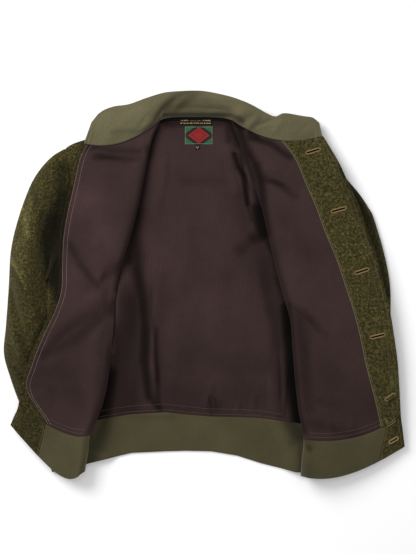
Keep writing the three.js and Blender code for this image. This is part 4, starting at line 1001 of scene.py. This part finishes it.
# Fronts: rows of the panels and of the hem, then stations round the side seam, under and round the fold
PANEL_AT = np.concatenate([steps(0, 2, 22)[:-1], steps(2, 6, 48)[:-1], steps(6, HEM_ROW - ROW_GAP, 66)])
BAND_AT = steps(HEM_ROW + ROW_GAP, LAST_ROW, 26)
CURL = steps(-1, 0, 5)[:-1]
INSIDE = np.concatenate([steps(0, 1, 26)[:-1], steps(1, UPPER, 14)[:-1]])
LINED_COLUMNS, FACED_COLUMNS, EDGE_COLUMNS, RIBBED_COLUMNS, TAB_COLUMNS = 60, 50, 5, 46, 18


def lining_end(front, at):
    """The station where a front's lining ends, and below the hem where it would."""
    return UPPER + sample(front["rows"], "liningEnd", np.minimum(at, HEM_ROW))


def rib_end(front, at):
    return UPPER + sample(front["rows"], "ribEnd", at)


def front_pieces(name, front):
    face = face_of(front)

    def lined(at):
        return np.concatenate([INSIDE, steps(UPPER, lining_end(front, at), LINED_COLUMNS)])

    def faced(at):
        start = lining_end(front, at) + SHARE_GAP
        count = FACED_COLUMNS if name == "left" else EDGE_COLUMNS
        return start + (EDGE - start) * (1 - (1 - steps(0, 1, count)) ** EDGE_POWER)

    def whole(at):
        return np.concatenate([CURL, lined(at), faced(at)])

    def ribbed(at):
        return np.concatenate([CURL, INSIDE, steps(UPPER, rib_end(front, at), RIBBED_COLUMNS)])

    def tabbed(at):
        return steps(rib_end(front, at) + SHARE_GAP, EDGE, TAB_COLUMNS)

    made = {
        "wool": cloth(name + "_front_wool", *face, PANEL_AT, whole, -WOOL, 0),
        "lined": cloth(name + "_front_lined", *face, PANEL_AT, lined, SEAM_GAP, LINING_TOP),
        "band": cloth(name + "_band", *face, BAND_AT, ribbed, -WOOL, LINING_TOP),
        "tab": cloth(name + "_tab", *face, BAND_AT, tabbed, -WOOL, LINING_TOP),
    }
    if name == "left":
        made["faced"] = cloth("left_front_faced", *face, PANEL_AT, faced, SEAM_GAP, FACING_TOP)
    return made


right = front_pieces("right", RIGHT)
left = front_pieces("left", LEFT)


UPPER_ROWS, UPPER_STATIONS = np.linspace(0, LAST_ROW, 281), np.linspace(2.3, EDGE, 71)


def upper_place(front, x, y):
    """Row and station of a front's upper leg over a place in plan."""
    at, station = np.meshgrid(UPPER_ROWS, UPPER_STATIONS, indexing="ij")
    found = front_point(front, at, station)
    k = np.argmin(np.hypot(found[..., 0] - x, found[..., 1] - y))
    return at.flat[k], station.flat[k]


# Buttonholes: a slit through the cloth, worked round with thread
SLIT_WIDTH, SLIT_DEPTH, SLIT_CORNERS = 3.0, 5.5, 16


def cloth_top(hole):
    return LINING_TOP if hole == TAB_HOLE else FACING_TOP


def slit_frame(hole):
    """Middle of a slit on the cloth's upper face, its directions along, across and up, and its length."""
    fx, fy, tx, ty = hole
    at, station = (np.array([value]) for value in upper_place(LEFT, (fx + tx) / 2, (fy + ty) / 2))
    surface, facing = face_of(LEFT)
    normal = normals_of(surface, facing, at, station)[0]
    middle = surface(at, station)[0] + normal * cloth_top(hole)
    middle[:2] = (fx + tx) / 2, (fy + ty) / 2
    along = np.array([tx - fx, ty - fy, 0.0])
    length = np.linalg.norm(along)
    along = unit(along - normal * np.dot(along, normal))
    return middle, along, np.cross(normal, along), normal, length


def stadium(length, width, count):
    """Points round a slot with round ends, evenly spaced, with the outward direction at each."""
    straight, radius = length - width, width / 2
    side = straight + math.pi * radius
    points, outs = [], []
    for k in range(count):
        turn, d = divmod(2 * side * k / count, side)
        angle = max(d - straight, 0) / radius - math.pi / 2
        out = np.array([math.cos(angle), math.sin(angle)])
        start = np.array([min(d, straight) - straight / 2, 0])
        points.append((1 - 2 * turn) * (start + radius * out))
        outs.append((1 - 2 * turn) * out)
    return np.array(points), np.array(outs)


def cutter(hole):
    middle, along, across, normal, length = slit_frame(hole)
    ring, _ = stadium(length, SLIT_WIDTH, SLIT_CORNERS)
    flat = middle + along * ring[:, :1] + across * ring[:, 1:]
    down, up = flat - normal * SLIT_DEPTH, flat + normal * SLIT_DEPTH
    n = len(ring)
    faces = [[k, (k + 1) % n, n + (k + 1) % n, n + k] for k in range(n)]
    faces += [list(range(n))[::-1], list(range(n, 2 * n))]
    mesh = bpy.data.meshes.new("slit")
    mesh.from_pydata(to_row(np.concatenate([down, up])).tolist(), [], faces)
    return new_object("slit", mesh)


def cut_slits(pieces, holes):
    tools = [cutter(hole) for hole in holes]
    for piece in pieces:
        for tool in tools:
            change = piece.modifiers.new("slit", "BOOLEAN")
            change.operation, change.solver, change.object = "DIFFERENCE", "EXACT", tool
        bpy.context.view_layer.update()
        done = bpy.data.meshes.new_from_object(piece.evaluated_get(bpy.context.evaluated_depsgraph_get()))
        piece.modifiers.clear()
        piece.data = done
    for tool in tools:
        bpy.data.objects.remove(tool)


cut_slits([left["wool"], left["faced"]], FACING_HOLES)
cut_slits([left["tab"]], [TAB_HOLE])

for name, made in (("right", right), ("left", left)):
    finish_piece(with_painted_shade(made["wool"], WOOL_PAINTED_SHADE_AND_LIGHT), WOOL_CLOTH, [name + "_front_shell"])
    lined_painted_shade = RIGHT_PAINTED_SHADE_AND_LIGHT if name == "right" else LEFT_PAINTED_SHADE_AND_LIGHT
    finish_piece(with_painted_shade(made["lined"], lined_painted_shade), LINING_CLOTH, [name + "_front_lining"])
    finish_piece(with_painted_shade(made["band"], BAND_PAINTED_SHADE), HEM_KNIT, ["hem_rib_" + name])
    finish_piece(with_painted_shade(made["tab"], WOOL_PAINTED_SHADE_AND_LIGHT), WOOL_CLOTH, ["hem_tab_" + name])
finish_piece(with_painted_shade(left["faced"], WOOL_PAINTED_SHADE_AND_LIGHT), WOOL_CLOTH, ["left_front_facing"])


# Sleeves and cuffs

# Rows over which a sleeve follows its armhole's curve and the lift of the body
ARMHOLE_REACH, LIFT_REACH = 3, 1.8
# Share of the width that each side is rounded over, and points under, over and round a side
ROUNDING, UNDER_COUNT, OVER_COUNT, BEND_COUNT = 0.045, 30, 68, 7
LEAST_HEIGHT = 7.6
# Height from which creases show, height over which they come in, and the share that always stays
CREASE_FROM, CREASE_OVER, CREASE_LEAST = 8.6, 8, 0.12
SLEEVE_END_FADES = (1.4, 1.6)
# The roll's crest and half width as parts of the share where it ends
ROLL_CREST, ROLL_HALF = 2.3, 1.75


def sleeve_top(rows, at, share):
    roll_end, flat = sample(rows, "rollEnd", at), sample(rows, "flat", at)
    off_centre = (share - roll_end / ROLL_CREST) / (roll_end / ROLL_HALF)
    return flat + (sample(rows, "roll", at) - flat) * np.maximum(1 - off_centre**2, 0) ** 2


def tube_grid(rows, side, places, creases, inset):
    """Rings of a flattened tube, from its outer edge under it to the inner edge and back over the top."""
    bend = 1 - np.cos(np.linspace(0, np.pi / 2, BEND_COUNT))
    level = np.linspace(ROUNDING, 1 - ROUNDING, UNDER_COUNT)[1:-1]
    under = np.concatenate([ROUNDING * bend, level, 1 - ROUNDING * bend[::-1]])
    level = np.linspace(1 - ROUNDING, ROUNDING, OVER_COUNT)[1:-1]
    over = np.concatenate([1 - ROUNDING * bend[1:], level, ROUNDING * bend[::-1][:-1]])
    share = np.tile(np.concatenate([under, over]), (len(places), 1))
    is_over = np.broadcast_to(np.arange(share.shape[1]) >= len(under), share.shape)
    at = np.repeat(np.asarray(places, float)[:, None], share.shape[1], 1)
    ox, oy = sample(rows, "outerX", at), sample(rows, "outerY", at)
    ix, iy = sample(rows, "innerX", at), sample(rows, "innerY", at)
    width = np.hypot(ix - ox, iy - oy)
    ax, ay = (ix - ox) / width, (iy - oy) / width
    near = np.clip(np.minimum(share, 1 - share) / ROUNDING, 0, 1)
    swell = np.sqrt(1 - (1 - near) ** 2)
    top = sleeve_top(rows, at, share)
    half = 0.5 * top
    reach, along = width * share, at * SLEEVE_SCALE[0]
    rise = crease_rise(scaled_creases(creases, SLEEVE_SCALE, SLEEVE_BOW), along, share * SLEEVE_SCALE[1])
    rise = rise + roughened(0, along, reach, SLEEVE_NOISE)
    # Creases are shallower where the sleeve is thin, and end at its armhole and its cuff
    room = np.clip((top - CREASE_FROM) / CREASE_OVER, CREASE_LEAST, 1)
    ends = ease(at * SLEEVE_END_FADES[0]) * ease((len(rows["flat"]) - 1 - at) * SLEEVE_END_FADES[1])
    top = np.maximum(top + rise * room * ends * swell, LEAST_HEIGHT)
    z = np.where(is_over, half + (top - half) * swell, np.maximum(half * (1 - swell), 0))
    x, y = ox + ax * reach, oy + ay * reach
    if side:
        bowing = ARMHOLES[side]["bow"] * np.maximum(1 - at / ARMHOLE_REACH, 0)
        x = x + bowing * np.sin(np.pi * share)
        seam = armhole_x(side, share), armhole_y(side, share)
        lift = np.where(z > WOOL, lift_of(FRONT_RISE, *seam), lift_of(BACK_RISE, *seam))
        z = z + (1 - ease(at / LIFT_REACH)) * lift
    outer = np.stack([x, y, z], -1)
    ring_on = np.roll(outer, -1, 1) - np.roll(outer, 1, 1)
    down = np.gradient(outer, axis=0)
    normal = unit(np.cross(ring_on, down))
    sideways = np.where(share > 0.5, 1 - swell, swell - 1)
    upright = np.where(is_over, swell, -swell)
    away = np.stack([ax * sideways, ay * sideways, upright], -1)
    normal = np.where(np.sum(away * normal, -1, keepdims=True) < 0, -normal, normal)
    return outer, outer - normal * inset


def tube(name, rows, side, places, creases, thickness):
    outer, inner = tube_grid(rows, side, places, creases, thickness)
    index = np.arange(outer[..., 0].size).reshape(outer.shape[:2])
    turned = np.roll(index, -1, 1)
    n = index.size
    outside = grid_quads(index, turned)
    first, first_on, last, last_on = index[0], turned[0], index[-1], turned[-1]
    start = np.stack([first, first_on, first_on + n, first + n], 1)
    end = np.stack([last, last + n, last_on + n, last_on], 1)
    points = np.concatenate([outer.reshape(-1, 3), inner.reshape(-1, 3)])
    quads = outward(points, np.concatenate([outside, outside[:, [0, 3, 2, 1]] + n, start, end]))
    uv = grid_uv(outer).reshape(-1, 2)
    return smooth_mesh(name, points, quads, np.concatenate([uv, uv]))


for name, sleeve, cuff, creases in (
    ("right", RIGHT_SLEEVE, RIGHT_CUFF, RIGHT_SLEEVE_CREASES),
    ("left", LEFT_SLEEVE, LEFT_CUFF, LEFT_SLEEVE_CREASES),
):
    arm = tube(name + "_arm", sleeve, name, steps(0, 12, 150), creases, WOOL)
    wrist = tube(name + "_wrist", cuff, None, steps(0, 3, 16), [], WOOL)
    finish_piece(with_painted_shade(arm, WOOL_PAINTED_SHADE_AND_LIGHT), WOOL_CLOTH, [name + "_sleeve"])
    finish_piece(with_painted_shade(wrist, []), HEM_KNIT, [name + "_cuff"])

# Collar
COLLAR_HALF = (WOOL + LINING + SEAM_GAP) / 2
collar = cloth("neck_knit", collar_point, 1, steps(0, 1, 40), steps(0, 18, 200), -COLLAR_HALF, COLLAR_HALF)
finish_piece(with_painted_shade(collar, COLLAR_PAINTED_SHADE_AND_LIGHT), COLLAR_KNIT, ["collar"])


# Stitching

# Share of its length at which a stitch is thickest, and how deep its ends and its middle lie in the cloth
STITCH_SHOULDER, STITCH_ENDS, STITCH_MIDDLE = 0.28, 0.1, 0.15


def stitch_mesh(name, paths, material, length=2.9, pitch=3.7, width=0.75, height=0.42):
    """Small thread stitches along paths, each given as points with the cloth's normals there."""
    points, faces = [], []
    for path, normals in paths:
        gaps = np.linalg.norm(np.diff(path, axis=0), axis=1)
        run = np.concatenate([[0], np.cumsum(gaps)])
        centres = np.arange(pitch / 2, run[-1], pitch)

        def at(d):
            return np.stack([np.interp(d, run, path[:, k]) for k in range(3)], -1)

        middle = at(centres)
        along = unit(at(centres + length / 2) - at(centres - length / 2))
        normal = unit(np.stack([np.interp(centres, run, normals[:, k]) for k in range(3)], -1))
        across = unit(np.cross(normal, along))
        for c, t, n, b in zip(middle, along, normal, across):
            base = len(points)
            points.append(c - t * length / 2 - n * STITCH_ENDS)
            for s in (-STITCH_SHOULDER, STITCH_SHOULDER):
                ring = [b * width / 2, n * height, -b * width / 2, -n * STITCH_MIDDLE]
                points.extend(c + t * length * s + r for r in ring)
            points.append(c + t * length / 2 - n * STITCH_ENDS)
            for k in range(4):
                m = (k + 1) % 4
                faces.append((base, base + 1 + m, base + 1 + k))
                faces.append((base + 1 + k, base + 1 + m, base + 5 + m, base + 5 + k))
                faces.append((base + 9, base + 5 + k, base + 5 + m))
    return finish_piece(smooth_mesh(name, points, faces), material)


def on_surface(surface, facing, at, station, distance):
    """Points at a height over a surface, with the cloth's normals there."""
    at, station = paired(at, station)
    normal = normals_of(surface, facing, at, station)
    return surface(at, station) + normal * distance, normal


STATION_STEP = 0.02


def station_beside(front, at, station, distance):
    """The station a distance beyond another, away from the fold; a negative distance is towards it."""
    surface, step = face_of(front)[0], math.copysign(STATION_STEP, distance)
    speed = np.linalg.norm(surface(at, station + step) - surface(at, station), axis=-1) / STATION_STEP
    return station + distance / speed


def row_up(surface, row, station, distance, nudge):
    """The row that lies a distance above another, away from the hem."""
    row = np.broadcast_to(np.asarray(row, float), np.shape(station))
    speed = np.linalg.norm(surface(row, station) - surface(row - nudge, station), axis=-1) / nudge
    return row - distance / speed


RUN = np.linspace(0.05, HEM_ROW - 0.08, 260)
# Distances of the rows of stitches from the edge or seam that they follow
EDGE_LINES, RIGHT_LINES, HEM_LINES, BACK_HEM_LINES = (7.0, 16.0), (1.2, 8.4), (6.0, 12.5), (4.0, 10.5)
FACING_LINE, TAB_LINE, TAB_EDGE_LINE = 2.6, 2.2, 6.0
HEM_SIDES, BACK_ROW_NUDGE, FRONT_ROW_NUDGE = (0.14, 0.86), 0.01, 0.05

run_edge, run_seam = np.full_like(RUN, EDGE), lining_end(LEFT, RUN) + SHARE_GAP
facing_lines = [station_beside(LEFT, RUN, run_edge, -d) for d in EDGE_LINES]
facing_lines.append(station_beside(LEFT, RUN, run_seam, FACING_LINE))
facing_lines = [on_surface(*face_of(LEFT), RUN, line, FACING_TOP) for line in facing_lines]
stitch_mesh("facing_stitches", facing_lines, WOOL_THREAD)

right_lines = [station_beside(RIGHT, RUN, lining_end(RIGHT, RUN), -d) for d in RIGHT_LINES]
right_lines = [on_surface(*face_of(RIGHT), RUN, line, LINING_TOP) for line in right_lines]
stitch_mesh("right_edge_stitches", right_lines, TAN_THREAD)

hem_lines = []
for front in (RIGHT, LEFT):
    surface, facing = face_of(front)
    station = np.linspace(UPPER, float(lining_end(front, np.array([HEM_ROW]))[0]) - 0.01, 120)
    for d in HEM_LINES:
        row = row_up(surface, HEM_ROW - ROW_GAP, station, d, FRONT_ROW_NUDGE)
        hem_lines.append(on_surface(surface, facing, row, station, LINING_TOP))
across = np.linspace(*HEM_SIDES, 260)
for d in BACK_HEM_LINES:
    row = row_up(back_lining_point, 1.0, across, d, BACK_ROW_NUDGE)
    hem_lines.append(on_surface(back_lining_point, -1, row, across, LINING_TOP))
stitch_mesh("hem_stitches", hem_lines, LINING_THREAD)

band_lines = []
for front in (RIGHT, LEFT):
    rows = np.linspace(HEM_ROW + 0.08, HEM_ROW + 1.94, 80)
    seam, edge = rib_end(front, rows) + SHARE_GAP, np.full_like(rows, EDGE)
    for station, d in ((seam, TAB_LINE), (edge, -TAB_EDGE_LINE)):
        line = station_beside(front, rows, station, d)
        band_lines.append(on_surface(*face_of(front), rows, line, LINING_TOP))
# Two tacks of thread, each a V, across the seam of the facing and the tab
TACK = np.array([(331, -246), (339, -255), (352, -245)])
tacks = []
for drop in (0, 5):
    share = np.linspace(0, 2, 9)
    spots = zip(np.interp(share, range(3), TACK[:, 0]), np.interp(share, range(3), TACK[:, 1] - drop))
    spots = np.array([upper_place(LEFT, x, y) for x, y in spots])
    tacks.append(on_surface(*face_of(LEFT), spots[:, 0], spots[:, 1], FACING_TOP))
stitch_mesh("edge_tack", tacks, GOLD_THREAD, 3.3, 3.5, 1.5, 0.7)
stitch_mesh("tab_stitches", band_lines, WOOL_THREAD)

# Profile of a buttonhole stitch across the slit's edge: way out, height and half width
PURL = [(-0.45, -0.7, 0.34), (-0.25, 0.55, 0.46), (0.95, 0.65, 0.46), (2.2, -0.15, 0.30)]
PURL_RIDGE, PURL_COUNT, PURL_LANE, PURL_LIFT = 0.18, 64, 2.5, 0.15
# How far the ring of stitches and the near-black sheet of painted slit shade reach past the slit, and the
# sheet's depths
RING_MARGIN, SHADE_SHEET_MARGIN, SHADE_SHEET_DROPS = (1.2, 0.7), -0.4, (1.5, 0.9)


def buttonhole_work():
    """Purl stitches round each slit, set close together across its edge."""
    points, faces = [], []
    for hole in BUTTONHOLES:
        middle, along, across, normal, length = slit_frame(hole)
        ring, outs = stadium(length + RING_MARGIN[0], SLIT_WIDTH + RING_MARGIN[1], PURL_COUNT)
        # Heights of the cloth along both sides of the slit and a little beyond its ends
        marks, lanes = np.linspace(-0.6, 0.6, 7) * length, (-PURL_LANE, PURL_LANE)
        spots = [middle + along * mark + across * lane for lane in lanes for mark in marks]
        rows, stations = np.array([upper_place(LEFT, *spot[:2]) for spot in spots]).T
        heights = front_point(LEFT, rows, stations)[:, 2].reshape(2, len(marks))
        heights = heights + normal[2] * cloth_top(hole)
        for (u, v), (ou, ov) in zip(ring, outs):
            out = along * ou + across * ov
            side = np.cross(normal, out)
            base = len(points)
            centre = middle + along * u + across * v
            near, far = (np.interp(u, marks, lane) for lane in heights)
            centre[2] = near + (far - near) * (v + PURL_LANE) / (2 * PURL_LANE) + PURL_LIFT
            for o, h, w in PURL:
                points.append(centre + out * o + normal * h - side * w)
                points.append(centre + out * o + normal * (h + PURL_RIDGE))
                points.append(centre + out * o + normal * h + side * w)
            for b in range(base, base + 3 * len(PURL) - 3, 3):
                faces += [(b, b + 1, b + 4, b + 3), (b + 1, b + 2, b + 5, b + 4), (b + 2, b, b + 3, b + 5)]
            faces += [(base, base + 2, base + 1), (base + 9, base + 10, base + 11)]
    finish_piece(smooth_mesh("buttonhole_work", points, faces), GOLD_THREAD)


def slit_shade_sheets():
    """A near-black sheet in each slit, a little below the wool's face: interlining darkened into painted
    shade of the slit.
    """
    points, faces = [], []
    for hole in BUTTONHOLES:
        middle, along, across, normal, length = slit_frame(hole)
        ring, _ = stadium(length + SHADE_SHEET_MARGIN, SLIT_WIDTH + SHADE_SHEET_MARGIN, 2 * SLIT_CORNERS)
        base, n = len(points), len(ring)
        for drop in SHADE_SHEET_DROPS:
            points += [middle + along * u + across * v - normal * drop for u, v in ring]
        faces += [[base + k, base + (k + 1) % n, base + n + (k + 1) % n, base + n + k] for k in range(n)]
        faces += [list(range(base, base + n))[::-1], list(range(base + n, base + 2 * n))]
    finish_piece(smooth_mesh("slit_shade_sheets", points, faces), SLIT_SHADE_SHEET_CLOTH)


buttonhole_work()
slit_shade_sheets()


def cord_line(name, points, normals, radius, material, sides=6):
    """A thin round cord sewn along a line."""
    along = unit(np.gradient(points, axis=0))
    across = unit(np.cross(normals, along))
    angle = np.linspace(0, 2 * np.pi, sides, endpoint=False)
    ring = np.cos(angle)[None, :, None] * across[:, None] + np.sin(angle)[None, :, None] * normals[:, None]
    grid = points[:, None] + radius * ring
    index = np.arange(grid[..., 0].size).reshape(grid.shape[:2])
    quads = outward(grid.reshape(-1, 3), grid_quads(index, np.roll(index, -1, 1)))
    faces = [*quads.tolist(), index[0].tolist(), index[-1][::-1].tolist()]
    return finish_piece(smooth_mesh(name, grid.reshape(-1, 3), faces), material)


PIPE_RADIUS, PIPE_LIFT = 0.9, 0.3
pipe_at = np.linspace(0.02, HEM_ROW - 0.03, 300)
pipe_line, pipe_normals = on_surface(*face_of(LEFT), pipe_at, lining_end(LEFT, pipe_at), LINING_TOP)
cord_line("facing_piping", pipe_line + pipe_normals * PIPE_LIFT, pipe_normals, PIPE_RADIUS, PIPING)


# Neck tape and labels

# Height of a patch over the lining, and how its edges are thinned
PATCH_LIFT, EDGE_SHARE, EDGE_WIDTH = 0.35, 0.35, 0.8


def flat_patch(name, node, material):
    """A thin woven patch on the back lining, following its surface, with soft edges."""
    x0, x1, y0, y1 = LABELS[node]
    x, y = np.meshgrid(np.linspace(x0, x1, 40), np.linspace(y0, y1, 24))
    base = roughened(BACK_STACK + SEAM_GAP, x, y, PATCH_NOISE) + PATCH_LIFT
    inset = np.minimum(np.minimum(x - x0, x1 - x), np.minimum(y - y0, y1 - y))
    top = base + LABEL * (EDGE_SHARE + (1 - EDGE_SHARE) * ease(inset / EDGE_WIDTH))
    finish_piece(shell(name, np.stack([x, y, base], -1), np.stack([x, y, top], -1)), material, [node])


STRIP_MARKS, SIZE_MARKS = (0.30, 0.23, 0.11), (0.55, 0.52, 0.46)
flat_patch("neck_label", "label_main", label_material(0.052, 0.034))
STRIP = strip_material("label_tape", 0.06, 0.01, 2, STRIP_MARKS)
flat_patch("neck_strip", "label_strip", STRIP)
SIZE_STRIP = strip_material("size_tape", 0.009, 0.0075, 1, SIZE_MARKS)
flat_patch("size_tab", "label_size", SIZE_STRIP)

# The tape lies along the back of the neck, and stands up to the collar's seam at both corners; its near-black
# colour is painted shade under the collar's seam
TAPE_WIDTH, TAPE_LIFT, TAPE_RAISE, FLAT_BELOW = 7.0, 0.3, 2.2, 3.4
tape_line = neckline_point(np.linspace(0.98, 2.0, 130))
flat_height = BACK_STACK + SEAM_GAP + TAPE_LIFT
first_row = tape_line.copy()
first_row[:, 2] = np.where(tape_line[:, 2] > FLAT_BELOW, tape_line[:, 2] + TAPE_RAISE, flat_height)
tape_rows = [first_row]
for inset in np.linspace(0.4, TAPE_WIDTH, 6):
    row = tape_line - np.array([0, inset, 0])
    row[:, 2] = flat_height
    tape_rows.append(row)
tape_low = np.array(tape_rows)
tape_offset = np.full(tape_low.shape, (0, 0, 0.8))
tape_offset[0] = (0, -0.7, 0.3)
finish_piece(shell("neck_tape", tape_low, tape_low + tape_offset), SHADOWED_TAPE_CLOTH)

# Buttons keep their solids
HORN = button_material()
for k in range(1, 7):
    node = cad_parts[f"button_{k}"]
    for place in node.material_slots:
        place.material = HORN

# Floor, light and camera
floor_mesh = bpy.data.meshes.new("floor")
floor_mesh.from_pydata([(-6, -6, 0), (6, -6, 0), (6, 6, 0), (-6, 6, 0)], [], [(0, 1, 2, 3)])
floor = new_object("floor", floor_mesh)
floor.location.z = -0.0004
paper = Look("paper", 0.9)
paper.shader.inputs["Base Color"].default_value = (0.95, 0.95, 0.95, 1)
floor_mesh.materials.append(paper.material)


def area_light(name, place, aim, size, power):
    data = bpy.data.lights.new(name, "AREA")
    data.energy, data.size, data.shape = power, size, "DISK"
    light = new_object(name, data)
    light.location = place
    light.rotation_euler = (Vector(aim) - Vector(place)).to_track_quat("-Z", "Y").to_euler()


area_light("key", (-1.55, 1.35, 1.75), (0, 0, 0), 1.7, 64)
area_light("top", (0.1, 0.2, 2.9), (0, 0, 0), 1.8, 15)
world = bpy.data.worlds.new("studio")
world.use_nodes = True
background = world.node_tree.nodes["Background"].inputs
background["Color"].default_value = (1, 1, 1, 1)
background["Strength"].default_value = 0.545
bpy.context.scene.world = world
bpy.context.scene.view_settings.view_transform = "Standard"

# Straight down on the middle of the photograph's frame
FRAME_HEIGHT, SENSOR_HEIGHT = 1.0249, 36
CAMERA_PLACE = (0.0073, 0.0136, 3.0)
camera_data = bpy.data.cameras.new("camera")
camera_data.sensor_fit = "VERTICAL"
camera_data.sensor_height = SENSOR_HEIGHT
camera_data.lens = SENSOR_HEIGHT * CAMERA_PLACE[2] / FRAME_HEIGHT
camera = new_object("camera", camera_data)
camera.location = CAMERA_PLACE
bpy.context.scene.camera = camera
